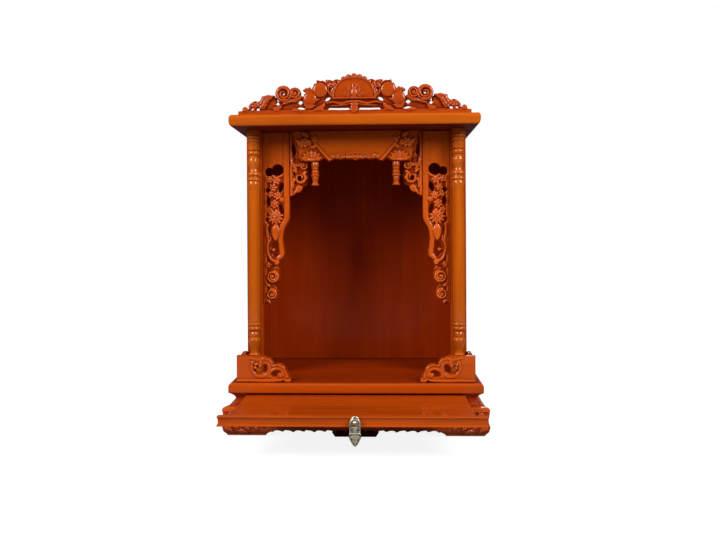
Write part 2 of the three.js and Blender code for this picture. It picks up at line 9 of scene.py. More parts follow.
import bmesh
import bpy
import numpy as np
from mathutils import Matrix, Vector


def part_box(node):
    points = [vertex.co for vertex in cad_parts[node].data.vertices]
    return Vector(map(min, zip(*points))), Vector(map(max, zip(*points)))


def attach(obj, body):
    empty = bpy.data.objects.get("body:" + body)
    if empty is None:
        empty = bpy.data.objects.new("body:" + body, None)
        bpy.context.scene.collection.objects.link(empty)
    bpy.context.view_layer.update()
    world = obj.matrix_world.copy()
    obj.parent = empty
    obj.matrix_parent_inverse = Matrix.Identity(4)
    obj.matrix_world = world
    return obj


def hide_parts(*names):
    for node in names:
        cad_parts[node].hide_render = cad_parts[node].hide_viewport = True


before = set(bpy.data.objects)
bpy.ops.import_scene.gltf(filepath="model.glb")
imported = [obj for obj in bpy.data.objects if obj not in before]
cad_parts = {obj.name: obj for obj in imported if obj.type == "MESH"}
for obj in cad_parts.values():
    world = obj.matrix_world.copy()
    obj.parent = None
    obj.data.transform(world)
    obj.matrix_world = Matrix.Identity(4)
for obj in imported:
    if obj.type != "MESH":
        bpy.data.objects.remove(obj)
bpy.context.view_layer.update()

MM = 0.001
PITCH = 0.75  # grid of the carved reliefs
SIDES = {"right": 1, "left": -1}
TAU = 2 * math.pi
WHITE = (1, 1, 1)
BLACK = (0, 0, 0)

CREST_THICK = 10
VALANCE_THICK = 13
BRACKET_THICK = 8
BRACKET_INWARD = 3.6  # the brackets are drawn this much too far out
LEG_THICK = 18
WAIST_COVE = 6.8  # depth of the waists' hollow
RETURN_DROP = 2.4  # the side boards' tops stand a little lower than the front boards'
RETURN_RELIEF = 1.6  # how far the side boards' faces stand in, under their relief
BAND_FOOT = 39.4  # lower edge of the plain band round the stand
APRON_HEM = 9.4  # height of the aprons' lower edge
SHOULDER_RUN = 14  # length behind a leg's corner in which the side takes up its slope
CORNER_RUN = 5  # length of a leg's rounded corner
AXIS = 0.01  # radius at which a turned piece closes
BELOW = -9  # a height under every carved surface
LEVEL = 0.9  # least vertical part of a level face's normal
BROAD_FACE = 0.01  # square metres, less than the floor board's top has
EASED_EDGE = 0.0006  # metres
WELD_REACH = 0.00002  # metres


def box_mm(node):
    """Lowest and highest corner of a CAD node at rest, in millimetres."""
    low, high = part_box(node)
    return np.array(low) / MM, np.array(high) / MM


# ---------------------------------------------------------------- materials

class Graph:
    """Short hand for a material's node tree with one Principled shader."""

    def __init__(self, name, **sockets):
        self.material = bpy.data.materials.new(name)
        self.material.use_nodes = True
        self.tree = self.material.node_tree
        self.shader = self.tree.nodes["Principled BSDF"]
        for socket, value in sockets.items():
            self.shader.inputs[socket.replace("_", " ")].default_value = value

    def node(self, kind, amounts=None, **settings):
        made = self.tree.nodes.new(kind)
        for socket, value in (amounts or {}).items():
            made.inputs[socket].default_value = value
        for name, value in settings.items():
            setattr(made, name, value)
        return made

    def link(self, output, socket):
        self.tree.links.new(output, socket)

    def noise(self, stretch, detail=4.0, distortion=0.0, shift=0.0):
        """Noise in the object's own metres, stretched by three scales."""
        place = self.node("ShaderNodeTexCoord")
        mapping = self.node("ShaderNodeMapping", {"Scale": stretch, "Location": (shift, shift, shift)})
        texture = self.node("ShaderNodeTexNoise", {"Scale": 1.0, "Detail": detail, "Distortion": distortion})
        self.link(place.outputs["Object"], mapping.inputs["Vector"])
        self.link(mapping.outputs["Vector"], texture.inputs["Vector"])
        return texture.outputs["Fac"]

    def ramp(self, value, stops):
        """A colour or grey by a value: stops are (position, colour) pairs."""
        made = self.node("ShaderNodeValToRGB")
        elements = made.color_ramp.elements
        while len(elements) < len(stops):
            elements.new(0.5)
        for element, (position, colour) in zip(elements, stops):
            element.position = position
            element.color = (*colour, 1)
        self.link(value, made.inputs["Fac"])
        return made.outputs["Color"]

    def mix(self, mode, share, first, second):
        """share, first and second are sockets, or values of their own."""
        made = self.node("ShaderNodeMix", data_type="RGBA", blend_type=mode)
        inputs = [made.inputs[0], made.inputs[6], made.inputs[7]]
        for socket, value in zip(inputs, (share, first, second)):
            if isinstance(value, bpy.types.NodeSocket):
                self.link(value, socket)
            elif isinstance(value, tuple):
                socket.default_value = (*value, 1)
            else:
                socket.default_value = value
        return made.outputs[2]

    def darken(self, colour, share, value, stops):
        """Multiplies a colour by a ramp of a value."""
        return self.mix("MULTIPLY", share, colour, self.ramp(value, stops))

    def attribute(self, name):
        made = self.node("ShaderNodeAttribute", attribute_name=name)
        return made.outputs["Fac"]

    def edges(self, radius):
        """1 near the piece's sharp edges, 0 on its flats."""
        bevel = self.node("ShaderNodeBevel", {"Radius": radius}, samples=4)
        flat = self.node("ShaderNodeNewGeometry")
        dot = self.node("ShaderNodeVectorMath", operation="DOT_PRODUCT")
        self.link(bevel.outputs["Normal"], dot.inputs[0])
        self.link(flat.outputs["True Normal"], dot.inputs[1])
        return self.ramp(dot.outputs["Value"], [(0.86, WHITE), (0.99, BLACK)])

    def finish(self, colour, value, roughness):
        """Links the base colour, and a roughness that runs between two amounts over a value."""
        self.link(colour, self.shader.inputs["Base Color"])
        greys = [(position, (amount,) * 3) for position, amount in zip((0.3, 0.7), roughness)]
        self.link(self.ramp(value, greys), self.shader.inputs["Roughness"])

    def bump(self, height, strength, distance):
        made = self.node("ShaderNodeBump", {"Strength": strength, "Distance": distance})
        self.link(height, made.inputs["Height"])
        self.link(made.outputs["Normal"], self.shader.inputs["Normal"])


GRAIN_SCALES = {
    "x": (9, 150, 150),
    "y": (150, 9, 150),
    "z": (150, 150, 9),
}


def lacquered_wood(name, grain, light, dark, shift, gloss=0.06, coat=0.6, carved=False):
    """Straight-grained wood under a clear coat: bands, fibres, pale worn edges that are partly painted
    highlight and, on carving, painted shade in the recesses.
    """
    graph = Graph(name, Coat_Weight=coat, Coat_Roughness=gloss, Coat_IOR=1.5, Specular_IOR_Level=0.03)
    fine = GRAIN_SCALES[grain]
    broad = tuple(scale * 0.16 for scale in fine)
    bands = graph.noise(broad, 3.0, 0.6, shift)
    fibres = graph.noise(fine, 6.0, 0.25, shift)
    middle = tuple((a + b) / 2 for a, b in zip(light, dark))
    colour = graph.ramp(bands, [(0.32, dark), (0.5, middle), (0.68, light)])
    colour = graph.darken(colour, 0.5, fibres, [(0.3, (0.72, 0.66, 0.6)), (0.62, WHITE)])
    cloud = graph.noise((11, 11, 11), 2.0, 0.0, shift)
    colour = graph.darken(colour, 0.6, cloud, [(0.3, (0.84, 0.78, 0.74)), (0.7, WHITE)])
    if carved:
        # painted shade: the carving's recesses are darkened where shade falls in them
        recess = graph.attribute("recess")
        colour = graph.darken(colour, 1.0, recess, [(0.05, WHITE), (0.9, (0.48, 0.3, 0.26))])
        # pale crests and, below, pale sharp edges: partly worn lacquer, partly painted highlight
        wear_and_highlight = graph.ramp(graph.attribute("crest_line"), [(0.15, BLACK), (0.9, (0.5, 0.5, 0.5))])
    else:
        wear_and_highlight = graph.edges(0.0012)
    pale = tuple(min(1.0, value * 1.15 + 0.012) for value in light)
    graph.finish(graph.mix("MIX", wear_and_highlight, colour, pale), fibres, (0.55, 0.42))
    graph.bump(fibres, 0.12, 0.00012)
    return graph.material


def aged_brass():
    """Cast brass with a pale worn surface and dark recesses."""
    graph = Graph("aged_brass", Metallic=1.0)
    wear = graph.noise((260, 260, 260), 4.0, 0.4, 3.0)
    colour = graph.ramp(wear, [(0.35, (0.62, 0.54, 0.36)), (0.6, (0.95, 0.9, 0.74))])
    colour = graph.darken(colour, 1.0, graph.attribute("recess"), [(0.05, WHITE), (0.8, (0.12, 0.1, 0.06))])
    graph.finish(colour, wear, (0.56, 0.4))
    graph.bump(graph.noise((700, 700, 700), 3.0, 0.0, 1.0), 0.3, 0.0002)
    return graph.material


# Light and dark of each wood's bands.
HONEY = (0.66, 0.135, 0.003), (0.54, 0.095, 0.002)
ORANGE = (0.58, 0.084, 0.002), (0.47, 0.058, 0.001)
AMBER = (0.64, 0.1, 0.003), (0.52, 0.068, 0.002)
# The stand's lacquer is made lighter to make up for the shade that the pulled-out shelf casts on it: painted
# light.
LIGHTENED_CHERRY = (0.78, 0.12, 0.014), (0.64, 0.085, 0.008)
SIENNA = (0.5, 0.066, 0.002), (0.41, 0.046, 0.001)
# A darker red copy for the waists' hollows and the niche's boards: painted shade.
SHADE_RED = (0.42, 0.04, 0.001), (0.35, 0.03, 0.001)
# A darker copy for the niche floor: painted shade.
SHADED = (0.32, 0.03, 0.001), (0.26, 0.022, 0.001)
# A very dark copy for faces in deep shade, the roof's underside and the centre foot: painted shade.
UNDERSIDE = (0.2, 0.02, 0.002), (0.14, 0.012, 0.001)
BARE = (0.36, 0.13, 0.04), (0.24, 0.075, 0.02)

materials = {
    "roof_x": lacquered_wood("honey_lacquer_along_x", "x", *HONEY, 0.0, gloss=0.2, coat=0.4),
    "turned_z": lacquered_wood("turned_along_z", "z", *HONEY, 3.0, gloss=0.08, coat=1.0),
    "board_x": lacquered_wood("lacquer_along_x", "x", *ORANGE, 0.0),
    "board_z": lacquered_wood("lacquer_along_z", "z", *ORANGE, 8.0),
    "carved_x": lacquered_wood("carved_along_x", "x", *AMBER, 1.0, gloss=0.1, carved=True),
    "carved_z": lacquered_wood("carved_along_z", "z", *AMBER, 2.0, gloss=0.1, carved=True),
    "crest_x": lacquered_wood("carved_crest", "x", *SIENNA, 1.0, gloss=0.1, carved=True),
    # painted light: the stand's lacquer is lightened against the shelf's shade
    "stand_x": lacquered_wood("lightened_carved_stand", "x", *LIGHTENED_CHERRY, 9.0, gloss=0.1, coat=0.8, carved=True),
    # painted shade: the waists' hollows take the darker red
    "cove_y": lacquered_wood("shaded_waist_along_y", "y", *SHADE_RED, 4.0),
    "shelf_x": lacquered_wood("shelf_along_x", "x", *SIENNA, 0.0),
    # painted shade: a darker lacquer for the niche floor
    "niche_x": lacquered_wood("shaded_niche_floor_along_x", "x", *SHADED, 6.0, gloss=0.12, coat=0.3),
    # painted shade: the niche's side and back boards take the darker red
    "niche_z": lacquered_wood("shaded_niche_along_z", "z", *SHADE_RED, 6.0, gloss=0.12, coat=0.3),
    "under": lacquered_wood("shaded_underside", "x", *UNDERSIDE, 5.0, gloss=0.3, coat=0.2),
    "plain": lacquered_wood("plain_wood", "x", *BARE, 7.0, gloss=0.35, coat=0.2),
    "brass": aged_brass(),
}


# ---------------------------------------------------------------- meshes

def make_piece(name, vertices, faces, material, body, replaced, slot, attributes=None, sharp=35):
    """A shown piece from millimetre vertices, riding on its body in place of CAD nodes."""
    mesh = bpy.data.meshes.new(name)
    mesh.from_pydata(np.asarray(vertices, float) * MM, [], faces)
    for key, values in (attributes or {}).items():
        layer = mesh.attributes.new(key, "FLOAT", "POINT")
        layer.data.foreach_set("value", np.asarray(values, np.float32))
    tidy = bmesh.new()
    tidy.from_mesh(mesh)
    bmesh.ops.recalc_face_normals(tidy, faces=tidy.faces)
    tidy.to_mesh(mesh)
    tidy.free()
    mesh.polygons.foreach_set("use_smooth", [True] * len(mesh.polygons))
    mesh.set_sharp_from_angle(angle=math.radians(sharp))
    mesh.materials.append(material)
    piece = bpy.data.objects.new(name, mesh)
    bpy.context.scene.collection.objects.link(piece)
    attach(piece, body)
    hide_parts(*replaced)
    return piece


def shade_faces(piece, material, chosen):
    """Gives the faces that are chosen a second, darker material: painted shade."""
    piece.data.materials.append(material)
    for face in piece.data.polygons:
        face.material_index = int(chosen(face))


def rings_to_mesh(rings):
    """Faces that join rings of equal length in turn, with a cap on the first and the last."""
    count = len(rings[0])
    vertices = [point for ring in rings for point in ring]
    faces = [tuple(range(count))[::-1], tuple(range(len(vertices) - count, len(vertices)))]
    for level in range(len(rings) - 1):
        for i in range(count):
            a = level * count + i
            b = level * count + (i + 1) % count
            faces.append((a, b, b + count, a + count))
    return vertices, faces


def moulded_board(half_width, front_y, back_y, profile):
    """A board whose front and side edges follow [inset, height] pairs."""
    rings = []
    for inset, z in profile:
        x, y = half_width - inset, front_y + inset
        rings.append([(-x, y, z), (x, y, z), (x, back_y, z), (-x, back_y, z)])
    return rings_to_mesh(rings)


def turned(profile, centre, facets=56):
    """A turned piece about a vertical axis from (radius, height) pairs."""
    angles = [TAU * i / facets for i in range(facets)]
    x, y = centre
    rings = [[(x + r * math.cos(a), y + r * math.sin(a), z) for a in angles] for r, z in profile]
    return rings_to_mesh(rings)


def arc(start, end, bulge, steps=8):
    """Points of a quarter-round between two profile points; bulge 1 is convex, -1 hollow."""
    (x0, z0), (x1, z1) = start, end
    made = []
    for i in range(1, steps + 1):
        t = i / steps * math.pi / 2
        if bulge > 0:
            made.append((x0 + (x1 - x0) * math.sin(t), z0 + (z1 - z0) * (1 - math.cos(t))))
        else:
            made.append((x0 + (x1 - x0) * (1 - math.cos(t)), z0 + (z1 - z0) * math.sin(t)))
    return made


def smooth_line(points, steps=8, closed=False):
    """A Catmull-Rom curve through points."""
    pts = [np.array(p, float) for p in points]
    ends = [pts[-1], *pts, pts[0], pts[1]] if closed else [2 * pts[0] - pts[1], *pts, 2 * pts[-1] - pts[-2]]
    made = []
    for i in range(1, len(ends) - 2):
        a, b, c, d = ends[i - 1:i + 3]
        for k in range(steps):
            t = k / steps
            made.append(0.5 * (2 * b + (c - a) * t + (2 * a - 5 * b + 4 * c - d) * t * t
                               + (3 * b - a - 3 * c + d) * t ** 3))
    if not closed:
        made.append(pts[-1])
    return [tuple(p) for p in made]


def round_line(x, z, radius, start=0, end=TAU):
    """Points along a circle, or along a part of one."""
    return [(x + radius * math.cos(a), z + radius * math.sin(a)) for a in np.linspace(start, end, 30)]


# ---------------------------------------------------------------- carving

def each(draw, *rows, **options):
    """Draws a row of carved shapes of one kind."""
    for row in rows:
        draw(*row, **options)


class Carving:
    """A board's outline and carved height on a grid of two lengths, u across and v up.

    wood is the distance inside the outline, negative outside; rise is the height over the board's face."""

    def __init__(self, u_range, v_range, mirrored=False, ground=0.0):
        u = np.linspace(*u_range, round((u_range[1] - u_range[0]) / PITCH) + 1)
        v = np.linspace(*v_range, round((v_range[1] - v_range[0]) / PITCH) + 1)
        self.u, self.v = np.meshgrid(u, v, indexing="ij")
        self.x = np.abs(self.u) if mirrored else self.u
        self.wood = np.full(self.u.shape, -1e3)
        self.rise = np.full(self.u.shape, ground)

    # distances, positive inside
    def disc(self, x, z, r):
        return r - np.hypot(self.x - x, self.v - z)

    def oval(self, x, z, rx, rz, tilt=0.0):
        c, s = math.cos(math.radians(tilt)), math.sin(math.radians(tilt))
        a = (self.x - x) * c + (self.v - z) * s
        b = (self.v - z) * c - (self.x - x) * s
        return (1 - np.hypot(a / rx, b / rz)) * min(rx, rz)

    def slab(self, x0, x1, z0, z1):
        return np.minimum(np.minimum(self.x - x0, x1 - self.x), np.minimum(self.v - z0, z1 - self.v))

    def polygon(self, points):
        distance = np.full(self.u.shape, 1e9)
        inside = np.zeros(self.u.shape, bool)
        for (x0, z0), (x1, z1) in zip(points, points[1:] + points[:1]):
            distance = np.minimum(distance, self.to_segment(x0, z0, x1, z1)[0])
            if z0 != z1:
                crosses = (self.v >= min(z0, z1)) & (self.v < max(z0, z1))
                inside ^= crosses & (self.x < x0 + (self.v - z0) * (x1 - x0) / (z1 - z0))
        return np.where(inside, distance, -distance)

    def to_segment(self, x0, z0, x1, z1):
        dx, dz = x1 - x0, z1 - z0
        t = np.clip(((self.x - x0) * dx + (self.v - z0) * dz) / max(dx * dx + dz * dz, 1e-9), 0, 1)
        return np.hypot(self.x - x0 - t * dx, self.v - z0 - t * dz), t

    def stroke(self, points, r0, r1=None):
        """Inside distance of a line whose half width runs from r0 to r1, and that half width."""
        r1 = r0 if r1 is None else r1
        best = np.full(self.u.shape, -1e9)
        width = np.full(self.u.shape, float(r0))
        count = len(points) - 1
        for i, ((x0, z0), (x1, z1)) in enumerate(zip(points, points[1:])):
            d, t = self.to_segment(x0, z0, x1, z1)
            r = r0 + (r1 - r0) * (i + t) / count
            better = r - d > best
            best = np.where(better, r - d, best)
            width = np.where(better, r, width)
        return best, width

    # outline
    def add(self, inside):
        self.wood = np.maximum(self.wood, inside)

    def cut(self, inside):
        self.wood = np.minimum(self.wood, -inside)

    def pierce(self, *ovals):
        for oval in ovals:
            self.cut(self.oval(*oval))

    # height
    def lift(self, height, where):
        self.rise = np.maximum(self.rise, np.where(where, height, BELOW))

    def swell(self, inside, width, rise, base, outline):
        """Lifts a rounded back over a shape from its inside distance and its half width."""
        share = np.clip(1 - inside / width, 0, 1)
        self.lift(base + rise * np.sqrt(1 - share ** 2), inside > 0)
        if outline:
            self.add(inside)

    def pit(self, x, z, width, depth):
        distance = np.hypot(self.x - x, self.v - z)
        self.rise = self.rise - depth * np.exp(-(distance / width) ** 2)

    def dome(self, x, z, rx, rz, rise, tilt=0.0, base=0.0, outline=False):
        self.swell(self.oval(x, z, rx, rz, tilt), min(rx, rz), rise, base, outline)

    def ridge(self, points, half, rise, end=None, base=0.0, outline=False):
        inside, width = self.stroke(points, half, end)
        self.swell(inside, width, rise, base, outline)

    def vine(self, points, half, rise, end=None, base=0.0, outline=False, steps=8):
        """A ridge along a smooth curve through points."""
        self.ridge(smooth_line(points, steps), half, rise, end, base, outline)

    def scroll(self, x, z, radius, turns, half, rise, start=90.0, way=1, base=0.0, outline=True):
        """A spiral ridge that winds in to a round eye."""
        steps = max(14, round(14 * turns))
        line = []
        for i in range(steps + 1):
            t = i / steps
            r = half * 1.1 + (radius - 2.1 * half) * (1 - t ** 1.7)
            a = math.radians(start) + way * TAU * turns * t
            line.append((x + r * math.cos(a), z + r * math.sin(a)))
        if outline:
            self.add(self.disc(x, z, radius))
        self.ridge(line, half, rise, half * 0.8, base)
        self.dome(x, z, half * 1.35, half * 1.35, rise * 1.15, 0, base)

    def leaf(self, x0, z0, x1, z1, half, rise, bend=0.0, base=0.0, outline=False, veins=4):
        """A pointed leaf from stalk to tip with a midrib and side veins."""
        mid = ((x0 + x1) / 2 - bend * (z1 - z0), (z0 + z1) / 2 + bend * (x1 - x0))
        spine = smooth_line([(x0, z0), mid, (x1, z1)], 5)
        count = len(spine) - 1
        best = np.full(self.u.shape, 1e9)
        along = np.zeros(self.u.shape)
        for i, ((a, b), (c, d)) in enumerate(zip(spine, spine[1:])):
            near, t = self.to_segment(a, b, c, d)
            better = near < best
            best = np.where(better, near, best)
            along = np.where(better, (i + t) / count, along)
        width = half * np.clip(np.sin(math.pi * np.clip(along, 0.02, 0.98) ** 0.8), 0.02, 1)
        width = width * (1 + 0.12 * np.cos(TAU * along * veins))
        share = np.clip(best / width, 0, 1)
        height = rise * np.sqrt(1 - share ** 2) * (1 - 0.35 * np.exp(-(best / (0.16 * half)) ** 2))
        height = height - 0.12 * rise * (0.5 + 0.5 * np.cos(TAU * (along * veins * 1.6 - share)))
        self.lift(base + height, best < width)
        if outline:
            self.add(width - best)

    def flower(self, x, z, radius, petals, rise, turn=0.0, base=0.0, rings=1):
        """Rounded petals round a domed heart; a second ring fills between the first."""
        for ring in range(rings):
            reach = radius * (0.6 - 0.24 * ring)
            long = radius * (0.4 - 0.08 * ring)
            wide = math.pi * reach / petals * 1.02
            top = rise * (0.72 + 0.16 * ring)
            for i in range(petals):
                a = turn + (i + 0.5 * ring) * 360 / petals
                c, s = math.cos(math.radians(a)), math.sin(math.radians(a))
                self.dome(x + reach * c, z + reach * s, long, wide, top, a, base)
        heart = radius * (0.3 if rings == 1 else 0.22)
        self.dome(x, z, heart, heart, rise, 0, base)

    def soften_edges(self, radius):
        """Rounds the face over towards the outline and the holes."""
        share = np.clip(self.wood / radius, 0, 1)
        self.rise = self.rise - radius * (1 - np.sqrt(1 - (1 - share) ** 2))

    def shades(self):
        """How far each point lies under (recess) and over (crest_line) the surface round it."""
        inside = (self.wood > 0).astype(float)
        low = np.zeros(self.u.shape)
        high = np.zeros(self.u.shape)
        for reach, scale in ((1.5, 0.5), (4.0, 1.1)):
            mean = blurred(self.rise * inside, reach) / np.maximum(blurred(inside, reach), 0.05)
            low = np.maximum(low, (mean - self.rise) / scale)
            high = np.maximum(high, (self.rise - mean) / scale)
        return np.clip(low, 0, 1), np.clip(high, 0, 1)


def blurred(values, reach):
    """Box blur by a reach in millimetres, twice."""
    half = max(1, round(reach / PITCH))
    for _ in range(2):
        for axis in (0, 1):
            padding = [(0, 0), (0, 0)]
            padding[axis] = (half + 1, half)
            total = np.cumsum(np.pad(values, padding, mode="edge"), axis=axis)
            ahead = np.take(total, range(2 * half + 1, total.shape[axis]), axis=axis)
            behind = np.take(total, range(0, total.shape[axis] - 2 * half - 1), axis=axis)
            values = (ahead - behind) / (2 * half + 1)
    return values


def carving_mesh(carving, front, back, back_shade=0.0):
    """A closed mesh of the carved board. front(u, v, rise) and back(u, v) give places in millimetres."""
    wood = carving.wood
    kept = (wood[:-1, :-1] + wood[1:, :-1] + wood[:-1, 1:] + wood[1:, 1:]) > 0
    around = np.pad(kept, 1)
    corners = around[:-1, :-1].astype(int) + around[1:, :-1] + around[:-1, 1:] + around[1:, 1:]
    used = corners > 0
    rim = used & (corners < 4)
    slope_u, slope_v = np.gradient(wood, PITCH)
    steep = np.maximum(slope_u ** 2 + slope_v ** 2, 0.2)
    step = np.where(rim, np.clip(-wood / steep, -0.8 * PITCH, 0.8 * PITCH), 0)
    u = np.clip(carving.u + step * slope_u, carving.u.min(), carving.u.max())
    v = np.clip(carving.v + step * slope_v, carving.v.min(), carving.v.max())
    recess, crest_line = carving.shades()
    index = np.full(used.shape, -1)
    index[used] = np.arange(used.sum())
    count = int(used.sum())
    vertices = np.concatenate([front(u[used], v[used], carving.rise[used]), back(u[used], v[used])])
    i, j = np.nonzero(kept)
    quads = np.stack([index[i, j], index[i + 1, j], index[i + 1, j + 1], index[i, j + 1]], axis=1)
    edges = np.concatenate([quads[:, [k, (k + 1) % 4]] for k in range(4)])
    key = np.sort(edges, axis=1)
    _, first, times = np.unique(key, axis=0, return_index=True, return_counts=True)
    border = edges[first[times == 1]]
    walls = np.stack([border[:, 1], border[:, 0], border[:, 0] + count, border[:, 1] + count], axis=1)
    faces = np.concatenate([quads, quads[:, ::-1] + count, walls])
    attributes = {
        "recess": np.concatenate([recess[used], np.full(count, back_shade)]),
        "crest_line": np.concatenate([crest_line[used], np.zeros(count)]),
    }
    return vertices, faces.tolist(), attributes


def flat_board(carving, front_y, back_y, side=1):
    """The mesh of a carving whose u is x and v is z."""
    return carving_mesh(
        carving,
        lambda u, v, rise: np.stack([side * u, front_y - rise, v], axis=1),
        lambda u, v: np.stack([side * u, np.full(u.shape, back_y), v], axis=1),
    )


def side_board(carving, side, face_x, back_x, start_y, foot_z=0.0):
    """The mesh of a carving whose u runs back and v up. face_x(v) is where its face stands."""
    return carving_mesh(
        carving,
        lambda u, v, rise: np.stack([side * (face_x(v) + rise), start_y + u, foot_z + v], axis=1),
        lambda u, v: np.stack([np.full(u.shape, side * back_x), start_y + u, foot_z + v], axis=1),
    )


def add_carved(name, mesh, material, nodes):
    """A carved piece of the cabinet body in place of its CAD nodes."""
    vertices, faces, attributes = mesh
    make_piece(name, vertices, faces, materials[material], "cabinet", nodes, "carved_lacquer", attributes, 50)


def add_mirrored_boards(node, carving, front_y, back_y, material):
    """A board drawn for the right side, BRACKET_INWARD too far out, and its mirror image on the left."""
    for suffix, side in SIDES.items():
        name = f"{node}_{suffix}"
        mesh = flat_board(carving, front_y, back_y, side)
        mesh[0][:, 0] -= side * BRACKET_INWARD
        add_carved("carved_" + name, mesh, material, [name])


# ---------------------------------------------------------------- camera, floor and light

CAMERA_AT = (0.0426, -1.1268, 0.3076)
CAMERA_YAW = 1.97
CAMERA_ROLL = -0.3
FOCAL = 35.5
HORIZON_SHIFT = -0.0483
AIM_HEIGHT = 0.28  # the level the softboxes point at
FLOOR_REACH = 6.0
FLOOR_LEVEL = -0.0005  # just under the feet
FILL = 0.15  # the studio's soft light from all round
FILL_IN_GLOSS = 0.02  # the room is dark where the lacquer mirrors it
BACKDROP = 1.0
FLOOR_GLOW_NEAR = 0.88  # the floor is lit to white, most where the softboxes don't reach
FLOOR_GLOW_FAR = 0.97


def add_camera():
    data = bpy.data.cameras.new("camera")
    data.lens = FOCAL
    data.sensor_width = 36
    data.shift_y = HORIZON_SHIFT
    camera = bpy.data.objects.new("camera", data)
    turn = Matrix.Rotation(math.radians(CAMERA_YAW), 4, "Z")
    upright = Matrix.Rotation(math.radians(90), 4, "X")
    roll = Matrix.Rotation(math.radians(CAMERA_ROLL), 4, "Z")
    camera.matrix_world = Matrix.Translation(CAMERA_AT) @ turn @ upright @ roll
    bpy.context.scene.collection.objects.link(camera)
    bpy.context.scene.camera = camera


def pale_floor():
    """A plain pale sweep that fades into the white backdrop."""
    graph = Graph("pale_floor", Base_Color=(0.24, 0.24, 0.243, 1), Roughness=0.7, Specular_IOR_Level=0.1)
    graph.shader.inputs["Emission Color"].default_value = (1, 1, 1, 1)
    place = graph.node("ShaderNodeTexCoord")
    away = graph.node("ShaderNodeVectorMath", operation="LENGTH")
    graph.link(place.outputs["Object"], away.inputs[0])
    reaches = {"From Min": 0.3, "From Max": 1.5, "To Min": FLOOR_GLOW_NEAR, "To Max": FLOOR_GLOW_FAR}
    glow = graph.node("ShaderNodeMapRange", reaches, interpolation_type="SMOOTHSTEP")
    graph.link(away.outputs["Value"], glow.inputs["Value"])
    rays = graph.node("ShaderNodeLightPath")
    seen = graph.node("ShaderNodeMath", operation="MULTIPLY")
    graph.link(glow.outputs["Result"], seen.inputs[0])
    graph.link(rays.outputs["Is Camera Ray"], seen.inputs[1])
    graph.link(seen.outputs["Value"], graph.shader.inputs["Emission Strength"])
    return graph.material


def add_floor():
    mesh = bpy.data.meshes.new("floor")
    corners = [(x * FLOOR_REACH, y * FLOOR_REACH, 0) for x, y in ((-1, -1), (1, -1), (1, 1), (-1, 1))]
    mesh.from_pydata(corners, [], [(0, 1, 2, 3)])
    mesh.materials.append(pale_floor())
    floor = bpy.data.objects.new("floor", mesh)
    floor.location.z = FLOOR_LEVEL
    bpy.context.scene.collection.objects.link(floor)


def add_softbox(name, azimuth, height, distance, width, tall, watts):
    data = bpy.data.lights.new(name, "AREA")
    data.shape = "RECTANGLE"
    data.size, data.size_y = width, tall
    data.energy = watts
    light = bpy.data.objects.new(name, data)
    a = math.radians(azimuth)
    place = Matrix.Translation((distance * math.sin(a), -distance * math.cos(a), height))
    drop = math.atan2(height - AIM_HEIGHT, distance)
    aim = Matrix.Rotation(a, 4, "Z") @ Matrix.Rotation(math.radians(90) - drop, 4, "X")
    light.matrix_world = place @ aim
    bpy.context.scene.collection.objects.link(light)


def add_world():
    world = bpy.data.worlds.new("studio")
    bpy.context.scene.world = world
    world.use_nodes = True
    tree = world.node_tree
    background = tree.nodes["Background"]
    background.inputs["Color"].default_value = (1, 1, 1, 1)
    rays = tree.nodes.new("ShaderNodeLightPath")
    fill = tree.nodes.new("ShaderNodeMix")
    fill.inputs["A"].default_value, fill.inputs["B"].default_value = FILL, FILL_IN_GLOSS
    seen = tree.nodes.new("ShaderNodeMix")
    seen.inputs["B"].default_value = BACKDROP
    tree.links.new(rays.outputs["Is Glossy Ray"], fill.inputs["Factor"])
    tree.links.new(fill.outputs["Result"], seen.inputs["A"])
    tree.links.new(rays.outputs["Is Camera Ray"], seen.inputs["Factor"])
    tree.links.new(seen.outputs["Result"], background.inputs["Strength"])
    bpy.context.scene.view_settings.view_transform = "Standard"


add_camera()
add_floor()
add_world()
add_softbox("left_softbox", -47, 1.12, 1.5, 0.5, 0.8, 21)
add_softbox("right_softbox", 47, 1.12, 1.5, 0.5, 0.8, 21)
add_softbox("top_softbox", 0, 1.9, 0.75, 0.9, 0.5, 1.5)
add_softbox("back_softbox", 180, 1.3, 1.6, 1.0, 0.6, 14)


# ---------------------------------------------------------------- boards and walls

def edge_profile(bottom, top, low, high):
    """A board edge rounded by different radii below and above."""
    points = [(low, bottom)]
    points += arc((low, bottom), (0, bottom + low), 1)
    points += [(0, top - high)]
    points += arc((0, top - high), (high, top), -1)
    return points


def add_roof():
    low, high = box_mm("roof_board")
    bottom, top = low[2], high[2]
    profile = [(7, bottom), (5.2, bottom + 0.1)]
    profile += arc((4.6, bottom + 0.3), (0.6, bottom + 5), 1)
    profile += [(0, bottom + 6.4), (0, top - 5.6)]
    profile += arc((0.1, top - 5.4), (5.6, top), -1)
    shape = moulded_board(high[0], low[1], high[1], profile)
    roof = make_piece("roof", *shape, materials["roof_x"], "cabinet", ["roof_board"], "lacquer")
    # painted shade: the roof's downward faces take a much darker lacquer
    shade_faces(roof, materials["under"], lambda face: face.normal.z < -LEVEL)


def add_floor_moulding():
    low, high = box_mm("floor_board")
    profile = edge_profile(low[2], high[2], 3.2, 5.0)
    shape = moulded_board(high[0], low[1], high[1], profile)
    board = make_piece("floor_moulding", *shape, materials["board_x"], "cabinet",
                       ["floor_board", "niche_floor_panel"], "lacquer")
    # painted shade: the board's broad top, deep in the niche, takes a darker lacquer
    shade_faces(board, materials["niche_x"], lambda face: face.normal.z > LEVEL and face.area > BROAD_FACE)


